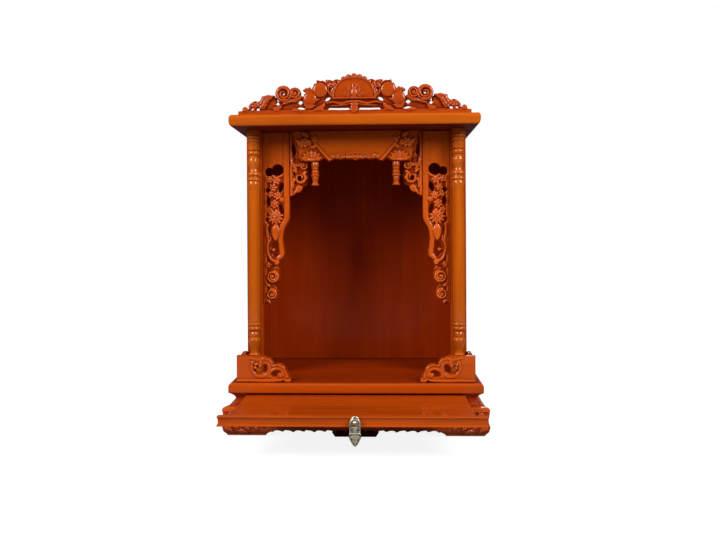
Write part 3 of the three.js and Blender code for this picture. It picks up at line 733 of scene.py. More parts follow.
def add_fascia():
    """The shelf's front: two lips with a shallow hollow between them."""
    low, high = box_mm("shelf_fascia")
    bottom, top = low[2], high[2]
    lip, lip_depth, hollow = 2.3, 1.0, 1.7
    profile = [(0.6, bottom), (0.1, bottom + 0.3), (0, bottom + 0.9), (0.2, bottom + 1.9)]
    profile += [(lip_depth, bottom + lip)]
    for i in range(1, 12):
        t = i / 12
        inset = lip_depth + (hollow - lip_depth) * math.sin(math.pi * t)
        profile.append((inset, bottom + lip + (top - bottom - 2 * lip) * t))
    profile += [(lip_depth, top - lip), (0.3, top - 1.6), (0, top - 1.1), (0.1, top - 0.4), (0.7, top)]
    shape = moulded_board(high[0], low[1], high[1], profile)
    make_piece("fascia", *shape, materials["board_x"], "shelf", ["shelf_fascia"], "lacquer")


def add_waists():
    """Hollow mouldings between the stand and the floor board."""
    steps = 14
    for suffix, side in SIDES.items():
        low, high = box_mm("waist_side_" + suffix)
        inner, outer = sorted((abs(low[0]), abs(high[0])))
        rings = []
        for i in range(steps + 1):
            t = i / steps
            inset = WAIST_COVE * math.sin(math.pi * t) ** 0.7
            z = low[2] + (high[2] - low[2]) * t
            x, y = outer - inset, low[1] + inset
            rings.append([(side * inner, y, z), (side * x, y, z),
                          (side * x, high[1], z), (side * inner, high[1], z)])
        make_piece("waist_" + suffix, *rings_to_mesh(rings), materials["cove_y"], "cabinet",
                   ["waist_side_" + suffix], "lacquer", sharp=40)


KEPT_NODES = {
    "shelf_x": ["shelf_board"],
    # painted shade: the centre foot, in the shelf's shade, takes the dark underside lacquer
    "under": ["centre_foot"],
    "board_z": ["stile_left", "stile_right"],
    # painted shade: the niche's boards take the darker red lacquer
    "niche_z": ["side_panel_left", "side_panel_right", "back_panel"],
    "plain": ["apron_back", "waist_back", "deck_board"],
}


def finish_kept_nodes():
    """CAD boards that stay: their slots get the looks, and their edges are eased."""
    for key, names in KEPT_NODES.items():
        for name in names:
            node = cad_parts[name]
            for slot in node.material_slots:
                slot.material = materials[key]
            weld = node.modifiers.new("weld", "WELD")
            weld.merge_threshold = WELD_REACH
            ease = node.modifiers.new("ease", "BEVEL")
            ease.width = EASED_EDGE
            ease.segments = 2
            ease.limit_method = "ANGLE"
            ease.angle_limit = math.radians(40)
            node.data.polygons.foreach_set("use_smooth", [False] * len(node.data.polygons))


# ---------------------------------------------------------------- turned pieces

def bead(z, radius, neck, half):
    """A half-round ring about a level."""
    points = []
    for i in range(9):
        a = math.pi * i / 8
        points.append((neck + (radius - neck) * math.sin(a) ** 0.7, z - half * math.cos(a)))
    return points


def column_profile(length):
    """Radius and height of a column from its base."""
    shaft = 9.8
    profile = [(AXIS, 0.0), (11.0, 0.0), (11.2, 0.4), (11.2, 13.6), (10.8, 14.2)]
    profile += bead(18, 10.5, 8.1, 3)
    profile += smooth_line([(7.6, 22), (7.1, 26), (6.7, 31)], 4)
    profile += bead(36.2, 8.8, 6.0, 2.8)
    profile += smooth_line([(6.0, 40), (6.4, 45), (8.8, 54), (10.0, 60.4), (8.6, 63.4)], 5)
    profile += smooth_line([(6.9, 64.4), (7.9, 66), (8.4, 69), (7.6, 72), (6.7, 73.6)], 4)
    profile += bead(78.6, 11.1, 8.8, 2.6)
    profile += bead(85.2, 11.1, 8.8, 2.4)
    profile += smooth_line([(9.1, 88.2), (shaft, 91), (shaft, 120), (shaft, 200), (shaft - 0.3, 290),
                            (shaft, 303), (shaft + 0.5, 309), (shaft, 314)], 4)
    profile += bead(317.8, 11.1, 8.8, 2.3)
    profile += bead(326.4, 11.1, 8.6, 3.0)
    profile += smooth_line([(7.2, 331), (6.7, 335), (7.4, 338.6), (9.1, 343), (9.1, 350), (7.6, 354.4)], 4)
    profile += bead(360.6, 9.8, 6.5, 3.8)
    profile += [(8.1, 365), (9.6, 366), (9.6, 375), (8.1, 376.2)]
    profile += bead(380.4, 10.5, 8.1, 2.6)
    profile += bead(386.2, 11.0, 8.4, 2.6)
    profile += [(11.2, 390), (11.2, length - 0.3), (11.0, length), (AXIS, length)]
    return profile


def pendant_profile(length):
    """Radius and height of a hanging stack of rings, from its foot at 0 up to its length."""
    profile = [(AXIS, 0.0), (5.2, 0.0), (5.9, 0.5), (6.2, 1.6), (5.9, 3.0), (4.6, 4.0)]
    profile += smooth_line([(4.2, 4.8), (4.4, 8), (5.2, 12), (4.9, 14.2)], 4)
    profile += bead(16.6, 6.7, 4.9, 1.9)
    profile += smooth_line([(5.2, 18.8), (5.9, 20.6), (5.7, 23.4), (4.6, 25.4)], 4)
    profile += bead(27.6, 5.8, 4.4, 1.5)
    profile += [(4.4, 29.4), (5.4, 30.6), (6.2, 31.6), (6.3, 33.4), (6.0, 35)]
    profile += [(5.8, length - 0.2), (AXIS, length)]
    return profile


TURNED = {"column": (column_profile, "turned_z"), "pendant": (pendant_profile, "board_z")}


def add_turnings():
    for suffix in SIDES:
        for kind, (profile_of, material) in TURNED.items():
            node = f"{kind}_{suffix}"
            low, high = box_mm(node)
            profile = [(radius, low[2] + z) for radius, z in profile_of(high[2] - low[2])]
            shape = turned(profile, ((low[0] + high[0]) / 2, (low[1] + high[1]) / 2))
            make_piece("turned_" + node, *shape, materials[material], "cabinet", [node], "lacquer", sharp=50)


# ---------------------------------------------------------------- crest

def crest_body(c, half):
    """A low body under a row of lobes, on a flat strip with a bead along it."""
    strip = 6.2
    body = smooth_line([(half - 1, 5), (160, 11), (140, 14), (122, 20), (100, 27), (70, 32), (48, 40),
                        (20, 46)], 4)
    c.add(c.polygon([(-1, 0), (half - 1, 0), *body, (-1, 48)]))
    c.add(c.slab(-1, half - 0.6, 0, strip))
    for lobe in [(170.6, 8.6, 4.4), (154, 13.6, 8.6), (130, 21, 9.6), (92.6, 33.6, 9.4), (69, 25, 11.2),
                 (53, 39, 12.2), (38, 44, 9.4), (27, 48, 7)]:
        c.add(c.disc(*lobe))
    c.lift(0.4, c.v < strip)
    c.ridge([(0, strip + 0.2), (half - 4, strip + 0.2)], 1.0, 1.1, base=0.2)


def crest_scrolls(c):
    """Leaf scrolls that run out to the ends, from a ringed scroll and its smaller neighbour."""
    each(c.scroll, (170.6, 8.8, 4.6, 1.0, 1.5, 1.8, 200, -1), (157.6, 12.6, 7.4, 1.2, 1.9, 2.2, 150, -1),
         (148.6, 14.4, 7.2, 1.1, 1.9, 2.4, 60, -1), (110, 32.6, 12.8, 1.6, 2.3, 3.0, 250),
         (92.4, 33.8, 9.2, 1.3, 1.9, 2.4, 320, -1))
    c.ridge(round_line(110, 32.6, 11.4), 1.7, 2.4)
    each(c.leaf, (146, 10, 124, 30, 6.6, 2.8, -0.18), (140, 10, 134, 31, 4.0, 2.2, -0.1),
         (100, 20, 78, 33, 3.4, 2.2, 0.12), outline=True)
    each(c.leaf, (140, 9, 168, 14, 3.0, 1.8, 0.1), (128, 10, 112, 16, 3.6, 2.0, 0.2),
         (112, 16, 90, 20, 3.4, 2.2, -0.15), (98, 9, 70, 12, 3.0, 2.0, 0.12), (62, 8, 44, 20, 4.0, 2.4, 0.2),
         (70, 10, 52, 24, 3.6, 2.2, -0.2))


def crest_fruit(c):
    """Two peaches with their leaves and twigs."""
    each(c.dome, (69, 25, 10.8, 10.8, 3.6, 0, -0.4), (53, 38.6, 12.2, 12.2, 4.0, 0, -0.2), outline=True)
    c.vine([(57, 51.6), (47, 50.6), (40.6, 44), (40, 36)], 1.5, 3.2, 0.8, outline=True)
    c.vine([(41, 36), (37, 31), (33, 27.6)], 1.6, 2.4)
    c.leaf(60, 14, 80, 20, 3.4, 2.2, -0.25)
    c.leaf(62, 33, 80, 38, 5.2, 2.4, 0.1, outline=True)
    c.scroll(36.8, 46.4, 7.4, 1.1, 1.7, 2.4, 30)


def crest_lotus(c, tall):
    """A fan of petals under a scalloped arch, on a stem with a branch to each side."""
    heart = 25.6
    for x, z, r in [(0, 59, 5), (8.4, 57.6, 4.6), (16, 54.4, 4.6), (22.6, 50, 4.2)]:
        c.dome(x, min(z, tall - r), r, r, 2.0, 0, -0.8, outline=True)
    c.vine([(0, 57), (12, 55.4), (23, 49.4), (29.6, 39.6), (32.4, 29), (31, 25)], 1.5, 2.2, 1.3,
           outline=True, steps=5)
    each(c.leaf, (36, 30, 30, 52, 4.6, 2.0, 0.1, -0.6), (33, 44, 45, 54, 3.4, 2.0, 0.1, -0.4), outline=True)
    field = c.polygon([(-1, 24), (30, 24), (30, 34), (24, 46), (12, 55), (-1, 57)])
    c.add(field)
    c.lift(0.9, field > 0)
    for reach, rise, count, wide in [(27, 1.9, 4, 5.4), (19, 2.7, 3, 5.2)]:
        for i in range(count):
            angle = math.radians(90 - i * 74 / (count - 0.6))
            x1, z1 = reach * math.cos(angle), heart + reach * math.sin(angle)
            c.leaf(0.32 * x1, 25 + 0.3 * (z1 - heart), x1, z1, wide, rise, 0, -0.2, veins=1)
    c.dome(0, 33, 5.6, 9.6, 3.6)
    each(c.ridge, ([(0, 24.6), (33, 24.6)], 1.3, 2.6), ([(0, 6), (0, 15)], 5.4, 2.6, 6.0))
    c.vine([(0, 19.6), (9, 19), (20, 16.4), (33, 18.6), (42, 17)], 2.2, 2.8, 1.4)
    c.vine([(6, 16), (14, 14.2), (24, 13.4), (36, 13.4)], 1.3, 2.2, 1.0)


def add_crest():
    low, high = box_mm("crest")
    half, tall = high[0], high[2] - low[2]
    c = Carving((-half, half), (0, tall), mirrored=True, ground=-1.6)
    crest_body(c, half)
    crest_scrolls(c)
    crest_fruit(c)
    crest_lotus(c, tall)
    c.cut(c.stroke([(9.6, 9), (24, 8.8), (38.6, 9.2)], 2.2, 2.0)[0])
    c.pierce((41.4, 24.4, 4.6, 2.7, -35), (84, 19.6, 3.4, 3.2, 30), (82.6, 10.2, 6.0, 2.3, 12),
             (80.2, 30.6, 2.3, 2.1), (110, 32.6, 2.3, 2.3), (119.6, 17.8, 3.0, 2.3, 40),
             (159.4, 9.6, 2.6, 2.1), (150.4, 9.8, 3.2, 2.1, 10), (100.4, 22.4, 1.6, 1.4))
    c.soften_edges(1.3)
    mesh = flat_board(c, high[1] - CREST_THICK, high[1])
    mesh[0][:, 2] += low[2]
    add_carved("carved_crest", mesh, "crest_x", ["crest"])


# ---------------------------------------------------------------- boards of the niche

def side_bracket_outline(c, inner, outer, top):
    """A board that narrows in two steps: smooth above, with a smooth border down its inner edge."""
    edge = smooth_line([(inner, 338), (114.6, 329), (120.4, 318.6), (122.6, 304), (121.2, 288), (119.6, 278),
                        (122.6, 270.6), (129.4, 266.4)], 5)
    lower = smooth_line([(131, 262), (129.4, 250), (128.8, 240), (131.6, 231), (137, 226.4), (133.4, 219),
                         (132.2, 210), (135, 203), (140.6, 199), (147, 195.4), (outer, 198)], 5)
    c.add(c.polygon([(outer, top), (inner, top), *edge, *lower]))
    c.lift(0.0, c.v > 427)
    c.lift(-0.2, (c.v > 403) & (c.oval(139, 416, 18, 14) > -3))
    c.lift(-0.5, c.u > 152.6)
    c.vine([(116.4, 500), (116.4, 400), (116.4, 342), (119.4, 331), (125, 319), (127.4, 303), (125.4, 286),
            (125.2, 277), (130.4, 271)], 5.2, 1.5, 3.4, base=-0.4, steps=5)
    c.ridge([(151.4, 427), (151.4, 200)], 1.6, 1.0, base=-0.6)


def side_bracket_flowers(c):
    """A bed of flowers and leaves over one large flower and a smooth hanging bud."""
    for x, z, r, petals in [(133.6, 398.4, 7.4, 6), (146.2, 399.4, 6.2, 5), (139.4, 386, 7.0, 6),
                            (131.6, 372.6, 7.2, 6), (143.6, 375.6, 6.0, 5), (137.2, 359, 7.6, 6),
                            (145.4, 349.4, 5.6, 5), (124.4, 366.4, 4.8, 5)]:
        c.flower(x, z, r, petals, 2.4, 9 * x, -0.4)
    c.flower(135.6, 338, 13.6, 11, 3.4, rings=2)
    each(c.leaf, (131, 404, 122, 407, 2.6, 1.8), (128, 394, 121.6, 384, 2.4, 1.6, 0.1),
         (134, 351, 124, 340, 2.8, 1.8, 0.1), (150, 387, 151.6, 378, 2.2, 1.6),
         (150, 369, 151.6, 358, 2.2, 1.6))
    bud = c.polygon(smooth_line([(135.6, 327), (129, 320), (128.4, 310), (134.8, 299), (141, 308),
                                 (142, 319)], 6, True))
    c.lift(0.2 + 2.6 * np.sqrt(np.clip(1 - (1 - bud / 6.4) ** 2, 0, 1)), bud > 0)


def side_bracket_scrolls(c):
    """Curls round the eye, and the two scrolls that end the board."""
    c.vine([(149, 326), (149.6, 312), (147.4, 300), (149, 286), (145, 272), (138, 266)], 2.2, 2.0)
    c.vine([(144.6, 306), (143.8, 301), (147, 296)], 1.4, 1.8)
    c.scroll(146.4, 259.6, 5.4, 1.1, 1.6, 2.0, 100, -1, outline=False)
    each(c.scroll, (133.8, 264, 5.0, 1.1, 1.5, 2.0, 60), (140.4, 241, 11.2, 1.9, 2.0, 2.8, 110),
         (142.4, 212.6, 9.8, 1.7, 1.9, 2.6, 80))
    each(c.leaf, (150.6, 232, 143, 224.6, 2.6, 1.8, 0.2), (150.4, 204, 144, 196.4, 3.0, 2.0))


def side_bracket_holes(c):
    """A double hole under the smooth panel, holes among the flowers, and an eye with a bead on a stalk."""
    double = np.maximum(c.oval(131.6, 415, 9.8, 9.6), c.oval(145.4, 412, 7.4, 7.0))
    c.cut(double - 9 * (c.v < 405.6))
    c.pierce((126.4, 387, 4.2, 8.2, 14), (147.8, 382.2, 3.8, 3.8), (147.4, 363.8, 3.8, 6.6),
             (126, 351.4, 3.7, 8.8, -14), (149.4, 333.4, 2.2, 3.4), (145.4, 317, 1.9, 6.2, -14))
    eye = np.maximum(c.oval(136.6, 285, 6.0, 12.4, -6), c.oval(133.6, 294, 3.4, 5))
    c.cut(np.minimum(eye, -c.disc(138.4, 284.6, 3.0)))
    c.cut(c.stroke([(136.4, 258.6), (140, 256.4), (143.6, 258)], 1.7)[0])
    c.dome(138.4, 284.6, 2.9, 2.9, 1.8)
    c.ridge([(138.4, 284.6), (145, 286)], 1.1, 0.6, base=-1.0, outline=True)


def add_side_brackets():
    low, high = box_mm("side_bracket_right")
    outer, inner, top = high[0] + BRACKET_INWARD, low[0] + BRACKET_INWARD, high[2]
    c = Carving((inner, outer), (low[2], top), ground=-1.4)
    side_bracket_outline(c, inner, outer, top)
    side_bracket_flowers(c)
    side_bracket_scrolls(c)
    side_bracket_holes(c)
    c.soften_edges(1.0)
    add_mirrored_boards("side_bracket", c, high[1] - BRACKET_THICK, high[1], "carved_z")


def corner_bracket_leaves(c):
    """Scrolls, knobs and leaves, pierced between."""
    each(c.scroll, (94, 401.4, 10.6, 1.2, 2.2, 2.6, 120), (88.6, 421.6, 8.4, 1.3, 2.0, 2.4, 40),
         (100, 424, 6.6, 1.1, 1.8, 2.2, 220, -1), (96.6, 385, 6.4, 1.1, 1.8, 2.2, 160), outline=False)
    each(c.dome, (85, 401, 3.4, 3.6, 2.8), (104.6, 398.4, 2.8, 3.4, 2.4), (86.4, 411, 3.0, 2.6, 2.4))
    each(c.leaf, (105.6, 436, 98, 414, 3.6, 2.2, 0.2), (106.6, 416, 100, 408, 3.0, 2.0, -0.1),
         (96, 391, 108, 374, 4.2, 2.4, -0.15), (107, 398, 105, 384, 2.8, 1.8, 0.1),
         (84, 462, 97, 474, 4.2, 2.0, 0.1))
    c.pierce((95.4, 401.4, 3.6, 4.4), (105, 448, 2.8, 9.6, -8), (93.4, 432.6, 2.8, 3.8, 25),
             (103.6, 408.6, 1.6, 3.2), (89.6, 452, 4.0, 5.4, 35), (84, 414.6, 1.2, 1.5))


def add_corner_brackets():
    low, high = box_mm("corner_bracket_right")
    outer, inner, top, bottom = high[0] + BRACKET_INWARD, low[0] + BRACKET_INWARD, high[2], low[2]
    c = Carving((inner, outer), (bottom, top), ground=-1.6)
    hem = smooth_line([(inner, 440), (78, 430), (81.6, 421), (80.6, 411), (80, 400), (83.6, 391), (90, 387.6),
                       (92.4, 381.6), (96.6, 377.4), (101.6, 377.8), (105, 373.6), (outer, bottom)], 5)
    c.add(c.polygon([(outer, top), (inner, top), *hem]))
    c.ridge([(109.4, top + 9), (109.4, bottom - 9)], 2.3, 1.6, base=-0.6)
    c.vine([(105, top), (103, 462), (97, 448), (88, 438), (80, 428)], 2.4, 1.8, 1.8)
    corner_bracket_leaves(c)
    c.soften_edges(1.0)
    valance_low, valance_high = box_mm("valance")
    covered = (c.v > valance_low[2] - 1) & (c.u < valance_high[0] + BRACKET_INWARD + 1)
    c.rise = np.where(covered, np.minimum(c.rise, -0.4), c.rise)
    add_mirrored_boards("corner_bracket", c, high[1] - BRACKET_THICK, high[1], "carved_z")


def valance_corner(c):
    """A slanting rib with a lotus fan, flowers and leaves on the sunk field outside it."""
    rib = smooth_line([(65, 456), (57, 447), (48.6, 437), (41.6, 429.6)], 5)
    field = c.polygon([*rib, (41, 420), (140, 420), (140, 480), (72, 480), (70, 462)])
    c.rise = np.where(field > 0, -1.2, c.rise)
    c.ridge(rib, 1.9, 1.6, 2.1)
    for turn, reach, half_wide in [(12, 18, 3.6), (38, 18, 4.2), (64, 17, 4.6), (90, 17, 4.8), (116, 17, 4.6),
                                   (142, 18, 4.2), (168, 18, 3.6)]:
        angle = math.radians(turn)
        across, up = math.cos(angle), math.sin(angle)
        c.leaf(71 + 3 * across, 429 + 3 * up, 71 + reach * across, 430 + reach * 0.95 * up,
               half_wide, 1.9, 0, -0.5, veins=2)
    c.dome(71, 430, 5.4, 3.6, 2.2)
    each(c.flower, (82, 457.6, 8.8, 7, 2.6, 0, -0.4), (66, 464.6, 6.0, 5, 2.2, 20, -0.4))
    each(c.leaf, (75, 466, 88, 474, 3.6, 1.8, 0.1, -0.4), (86, 449, 98, 464, 3.4, 1.8, 0.1, -0.4),
         (72, 449, 62, 456, 2.8, 1.8, 0.1, -0.4), (72, 452, 73, 464, 2.8, 1.8, -0.1, -0.4))


def add_valance():
    low, high = box_mm("valance")
    half, top, bottom = high[0], high[2], low[2]
    c = Carving((-half, half), (bottom, top), mirrored=True)
    end = smooth_line([(half, top - 3), (99, 466), (95.6, 457.6), (92.6, 450), (91.2, 442), (91, 434),
                       (89.6, 428.4)], 5)
    hem = smooth_line([(80, bottom), (62, bottom + 0.1), (55, 429.6), (51.6, 432.6), (48, 431), (44.6, 428.2),
                       (40, 428.4), (36, 430.4), (30, 431.2), (24, 430), (17, 431.4), (10.6, 430.4),
                       (6, 431), (3, 429.4), (0, 428.6)], 4)
    c.add(c.polygon([(-1, top), (half, top), *end, *hem, (-1, 428.6)]))
    valance_corner(c)
    for x, r in [(4, 4.2), (12, 4.6), (20.6, 4.4), (29, 4.2), (36, 3.2)]:
        c.scroll(x, 434.4, r, 1.1, 1.1, 1.5, 200, -1, outline=False)
    c.ridge([(-1, 440.4), (14, 439.8), (27, 439.6), (38, 436)], 0.9, 0.9)
    c.soften_edges(1.1)
    add_carved("carved_valance", flat_board(c, high[1] - VALANCE_THICK, high[1]), "carved_x", ["valance"])


# ---------------------------------------------------------------- podium boards

PODIUM_RIM = smooth_line([(22, 37.6), (30, 35.6), (38, 34.6), (43, 36.8), (50, 35.4), (55.2, 30.4),
                          (56.2, 26), (60, 26.8), (66, 26.4), (72.6, 22.6), (76.6, 15.6), (78.6, 8)], 5)


def podium_outline(c, length, tall):
    """The corner board: a block that falls in scrolled steps to a toe."""
    far = length / 86
    c.add(c.slab(0, 36.4 * far, 0, tall))
    for x, z, rx, rz in [(35, 24, 21, 17), (48.4, 25.4, 9.4, 11.4), (64.8, 14.6, 13.6, 13.8),
                         (45, 8, 34, 8.4), (79.6, 3.6, 5.6, 3.9), (77.4, 8.6, 4.6, 7.4)]:
        c.add(c.oval(x * far, z, rx * far, rz))
    c.add(c.stroke([(44 * far, 34.4), (51 * far, 33.2)], 3.6)[0])


def podium_front_relief(c, length):
    """A rolled rim and foot, with a C-scroll and an arch round the two eyes."""
    c.ridge(PODIUM_RIM, 2.2, 0.9, 1.8)
    c.vine([(26, 31), (24, 22), (29, 11.6), (38, 8.8), (47, 11), (51.6, 19), (51, 28)],
           2.6, 1.0, 2.2, steps=5)
    c.vine([(50.6, 9), (54.4, 16.6), (62, 21), (70.4, 18.6), (73, 11)], 2.3, 0.9, steps=5)
    c.ridge([(-4, 2.4), (length - 3, 2.4)], 2.6, 1.2)
    c.scroll(68.2, 10.4, 4.4, 0.9, 1.5, 1.2, 170, -1, outline=False)


def podium_front_holes(c):
    """A U-shaped eye round a hanging hook and a bead, and a comma-shaped eye."""
    eye = np.maximum(c.oval(37, 19.6, 9.8, 6.0), c.oval(29.8, 24.6, 4.0, 6.6))
    eye = np.maximum(eye, c.oval(44, 22.8, 3.6, 5.2))
    eye = np.minimum(eye, -c.stroke([(37.6, 36), (37.8, 28), (36.4, 24)], 4.2, 2.8)[0])
    c.cut(np.minimum(eye, -c.disc(29.6, 22.4, 2.5)))
    comma = np.minimum(c.oval(61.4, 13.2, 7.6, 4.8, 14), -c.disc(67.6, 10.8, 4.2))
    c.cut(np.minimum(comma, c.v - 9))
    c.dome(29.6, 22.4, 2.5, 2.5, 1.6)
    c.add(c.stroke([(25.6, 23.4), (29.6, 22.4)], 1.1)[0])
    c.ridge([(37.6, 34), (37.8, 28), (36.6, 24.4)], 2.6, 1.0, 2.0)


def add_podium_fronts():
    low, high = box_mm("podium_panel_right")
    length, tall = high[0] - low[0], high[2] - low[2]
    c = Carving((0, length), (0, tall))
    podium_outline(c, length, tall)
    podium_front_relief(c, length)
    podium_front_holes(c)
    c.soften_edges(1.1)
    for suffix, side in SIDES.items():
        name = "podium_panel_" + suffix
        mesh = flat_board(c, low[1], high[1])
        mesh[0][:, 0] = side * (high[0] - mesh[0][:, 0])
        mesh[0][:, 2] += low[2]
        add_carved("carved_" + name, mesh, "carved_x", [name])


def add_podium_returns():
    low, high = box_mm("podium_return_right")
    length, tall = high[1] - low[1], high[2] - low[2]
    c = Carving((0, length), (0, tall))
    podium_outline(c, length, tall - RETURN_DROP)
    each(c.ridge, (PODIUM_RIM, 2.2, 1.0), ([(-4, 2.2), (length - 3, 2.2)], 2.2, 1.2))
    each(c.scroll, (41, 21, 8.4, 1.3, 1.9, 1.4), (64, 13.6, 6.4, 1.2, 1.6, 1.3), way=-1, outline=False)
    c.soften_edges(1.0)
    face = high[0] - RETURN_RELIEF
    for suffix, side in SIDES.items():
        name = "podium_return_" + suffix
        mesh = side_board(c, side, lambda v: face, low[0], low[1], low[2])
        add_carved("carved_" + name, mesh, "carved_x", [name])


# ---------------------------------------------------------------- stand

# Insets of the stand's faces from its widest line, by height: all round, and over the tops of its sides.
BULGE = smooth_line([(8.2, 0), (6.9, 2.2), (2.4, 6.4), (0.3, 11), (0.7, 16), (2.4, 22.7), (1.2, 30),
                     (0.4, 36.5), (0.5, 41), (1.2, 43.6), (3.2, 45)], 6)
SIDE_SHOULDER = smooth_line([(0, 30), (0.6, 34), (3.0, 38.4), (6.6, 42), (11, 45)], 6)


def bulge_at(z):
    inset, level = np.array(BULGE).T
    return np.interp(z, level, inset)


def side_bulge_at(z):
    """The bulge of the stand's sides, which slope further in over their tops."""
    inset, level = np.array(SIDE_SHOULDER).T
    return np.maximum(bulge_at(z), np.interp(z, level, inset))


def stand_band(c, start, end):
    """The plain band along the stand's top, over a bead."""
    c.lift(0.0, c.v > BAND_FOOT)
    c.ridge([(start, BAND_FOOT - 0.2), (end, BAND_FOOT - 0.2)], 0.9, 0.6, base=-0.3)


def leg_carving(length, tall):
    """Leaf scrolls round a corner leg: u runs from -length on the front to length on the side."""
    c = Carving((-length, length), (0, tall), mirrored=True, ground=-1.2)
    c.add(c.slab(-1, length, 0, tall))
    stand_band(c, -9, 99)
    each(c.scroll, (15, 29.6, 8.4, 1.5, 1.7, 1.5, 80), (31.6, 31, 6.6, 1.3, 1.6, 1.4, 60, -1),
         (45.6, 30, 7.4, 1.4, 1.6, 1.4, 120), (59.6, 31.4, 6.0, 1.2, 1.5, 1.3, 60, -1),
         base=-0.6, outline=False)
    each(c.leaf, (4, 22, 27, 12, 5.4, 2.0, 0.15), (22, 22, 44, 9.4, 5.0, 1.9, 0.15),
         (2, 17, 18, 5, 4.4, 1.8, 0.1), (36, 21, 58, 10, 4.6, 1.8, 0.15), (52, 22, 66, 14, 4.0, 1.6, 0.1),
         (24, 9, 40, 3.4, 3.2, 1.4, 0.1), base=-0.6)
    c.ridge([(-9, 1.6), (99, 1.6)], 1.5, 0.8, base=-0.5)
    return c


def leg_mesh(c, length, outer, edge_y, far_y, way, side):
    """The carving bent round a leg's outer corner. way is 1 on the front legs and -1 on the back ones, whose
    back face is flat."""
    inner = outer - length

    def skin(u, v, rise):
        share = np.abs(u) / length
        behind = np.clip(u / SHOULDER_RUN, 0, 1)
        inset = bulge_at(v) * (1 - behind) + side_bulge_at(v) * behind
        edge = edge_y + inset if way > 0 else edge_y
        turn = np.clip(0.5 + u / CORNER_RUN, 0, 1) * math.pi / 2  # none on the front face, square on the side
        lift_x, lift_y = rise * np.sin(turn), rise * np.cos(turn)
        lift_y = lift_y if way > 0 else np.minimum(lift_y, 0)
        x = np.where(u < 0, (outer - inset) * (1 - share) + inner * share, outer - inset) + lift_x
        y = np.where(u > 0, edge * (1 - share) + far_y * share, edge) - way * lift_y
        return np.stack([side * x, y, v], axis=1)

    def core(u, v):
        share = np.abs(u) / length
        back_x, back_y = outer - LEG_THICK, edge_y + way * LEG_THICK
        x = np.where(u < 0, back_x * (1 - share) + inner * share, back_x)
        y = np.where(u > 0, back_y * (1 - share) + far_y * share, back_y)
        return np.stack([side * x, y, v], axis=1)

    return carving_mesh(c, skin, core, back_shade=1.0)


def add_legs():
    low, high = box_mm("leg_front_right")
    length = high[1] - low[1]
    c = leg_carving(length, high[2] - low[2])
    for end, way in (("front", 1), ("back", -1)):
        for suffix, side in SIDES.items():
            name = f"leg_{end}_{suffix}"
            leg_low, leg_high = box_mm(name)
            outer = max(abs(leg_low[0]), abs(leg_high[0]))
            edge_y, far_y = (leg_low[1], leg_high[1]) if way > 0 else (leg_high[1], leg_low[1])
            mesh = leg_mesh(c, length, outer, edge_y, far_y, way, side)
            add_carved("carved_" + name, mesh, "stand_x", [name])


def apron_carving(half, tall, teeth):
    """An apron with a cusped lower edge and a row of low leaves."""
    c = Carving((-half, half), (0, tall), mirrored=True, ground=-0.9)
    start = half - 9
    hem = [(half + 1, 1.5), (half - 1.4, 2.6)]
    hem += smooth_line([(half - 3, 4.4), (half - 6.6, 6.4), (start, 7.4)], 4)
    step = start / teeth
    for i in range(teeth):
        x = start - i * step
        drop = 2.2 if i % 2 else 3.2
        hem += [(x - step * 0.12, APRON_HEM - drop), (x - step * 0.3, APRON_HEM - drop + 2.6),
                (x - step * 0.55, APRON_HEM + 0.3), (x - step * 0.8, APRON_HEM - 0.5)]
    c.add(c.polygon([(half + 1, tall + 1), *hem, (-1, APRON_HEM - 0.5), (-1, tall + 1)]))
    stand_band(c, -1, half + 9)
    count = max(2, round(half / 30))
    for i in range(count):
        x = half * (i + 0.5) / count
        c.scroll(x - 6, 29, 6.6, 1.3, 1.5, 1.3, 80, base=-0.5, outline=False)
        each(c.leaf, (x, 26, x + 12, 15.6, 4.4, 1.6, 0.15), (x - 2, 22, x - 13, 15, 3.8, 1.5, -0.15),
             base=-0.5)
    c.soften_edges(0.9)
    return c


def add_aprons():
    low, high = box_mm("apron_front")
    tall = high[2]
    mesh = carving_mesh(
        apron_carving(high[0], tall, 8),
        lambda u, v, rise: np.stack([u, low[1] + bulge_at(v) - rise, v], axis=1),
        lambda u, v: np.stack([u, np.full(u.shape, high[1]), v], axis=1),
    )
    add_carved("carved_apron_front", mesh, "stand_x", ["apron_front"])
    side_low, side_high = box_mm("apron_right")
    middle = (side_high[1] + side_low[1]) / 2
    c = apron_carving((side_high[1] - side_low[1]) / 2, tall, 4)
    for suffix, side in SIDES.items():
        mesh = side_board(c, side, lambda v: side_high[0] - side_bulge_at(v), side_low[0], middle)
        add_carved("carved_apron_" + suffix, mesh, "stand_x", ["apron_" + suffix])


# ---------------------------------------------------------------- pull

def knob_profile(reach):
    """Radius and height of the rose, the post and the ball on its end."""
    ball = 3.0
    profile = [(AXIS, 0.0), (6.5, 0.0), (6.5, 0.7)]
    profile += arc((6.4, 0.8), (4.6, 1.7), -1, 4)
    profile += [(4.2, 1.5), (2.6, 1.9), (1.5, 2.2), (1.3, 2.6), (1.3, reach - 2 * ball + 0.2)]
    for i in range(1, 13):
        a = -1.12 + i / 12 * (math.pi / 2 + 1.12)
        profile.append((max(ball * math.cos(a), AXIS), reach - ball + ball * math.sin(a)))
    return profile


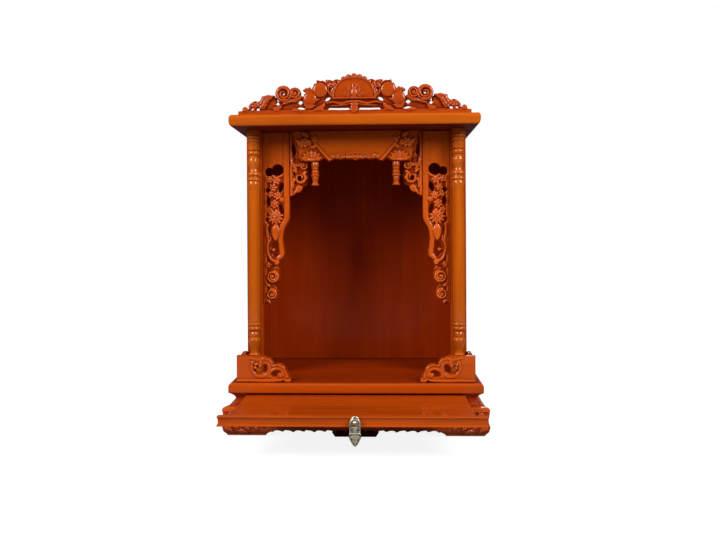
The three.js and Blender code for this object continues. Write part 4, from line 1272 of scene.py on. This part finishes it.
def add_knob():
    low, high = box_mm("pull_post")
    across, level = (low[0] + high[0]) / 2, (low[2] + high[2]) / 2
    vertices, faces = turned(knob_profile(high[1] - low[1]), (0, 0), 40)
    places = np.array(vertices)
    places = np.stack([across + places[:, 0], high[1] - places[:, 2], level + places[:, 1]], axis=1)
    make_piece("turned_knob", places, faces, materials["brass"], "shelf", ["pull_post"], "aged_brass",
               sharp=45)


def drop_carving(wide, bottom, top):
    """A ring over a flat shank and a leaf-marked shield that ends in a point."""
    c = Carving((-wide, wide), (bottom, top), mirrored=True)
    ring = 8.0
    ring_z = top - ring
    side_line = smooth_line([(ring - 0.1, ring_z), (7.7, top - 14), (7.4, top - 18.6), (7.9, top - 22),
                             (wide, top - 25.6), (7.4, top - 29), (4.6, top - 34), (2.2, top - 37.6),
                             (0.6, bottom + 0.4)], 5)
    c.add(c.disc(0, ring_z, ring))
    c.add(c.polygon([(-1, ring_z), *side_line, (0, bottom), (-1, bottom)]))
    each(c.ridge, (round_line(0, ring_z, 6.4, -0.3, math.pi + 0.3), 1.7, 1.1), (side_line, 1.1, 0.7),
         ([(-1, top - 21.6), (7.6, top - 21.6)], 1.3, 1.0), ([(0, top - 13), (0, top - 20)], 1.5, 0.9))
    c.leaf(0, top - 23, 0, bottom + 1.4, 4.2, 1.2, veins=3)
    c.leaf(2, top - 24, 7.6, top - 27.6, 1.8, 0.9)
    c.pit(4.4, top - 16.8, 1.7, 0.8)
    c.pit(6.2, top - 25.6, 1.1, 0.5)
    c.cut(c.disc(0, ring_z, 4.6))
    c.soften_edges(0.8)
    return c


def add_drop():
    post_low, post_high = box_mm("pull_post")
    across = (post_low[0] + post_high[0]) / 2
    low, high = box_mm("pull_drop")
    c = drop_carving(high[0] - across, low[2], high[2])
    mesh = flat_board(c, low[1] + 0.9, high[1] - 0.4)
    mesh[0][:, 0] += across
    make_piece("cast_drop", mesh[0], mesh[1], materials["brass"], "pull", ["pull_drop"], "aged_brass",
               mesh[2], 50)


add_roof()
add_floor_moulding()
add_fascia()
add_waists()
finish_kept_nodes()
add_turnings()
add_crest()
add_side_brackets()
add_corner_brackets()
add_valance()
add_podium_fronts()
add_podium_returns()
add_legs()
add_aprons()
add_knob()
add_drop()
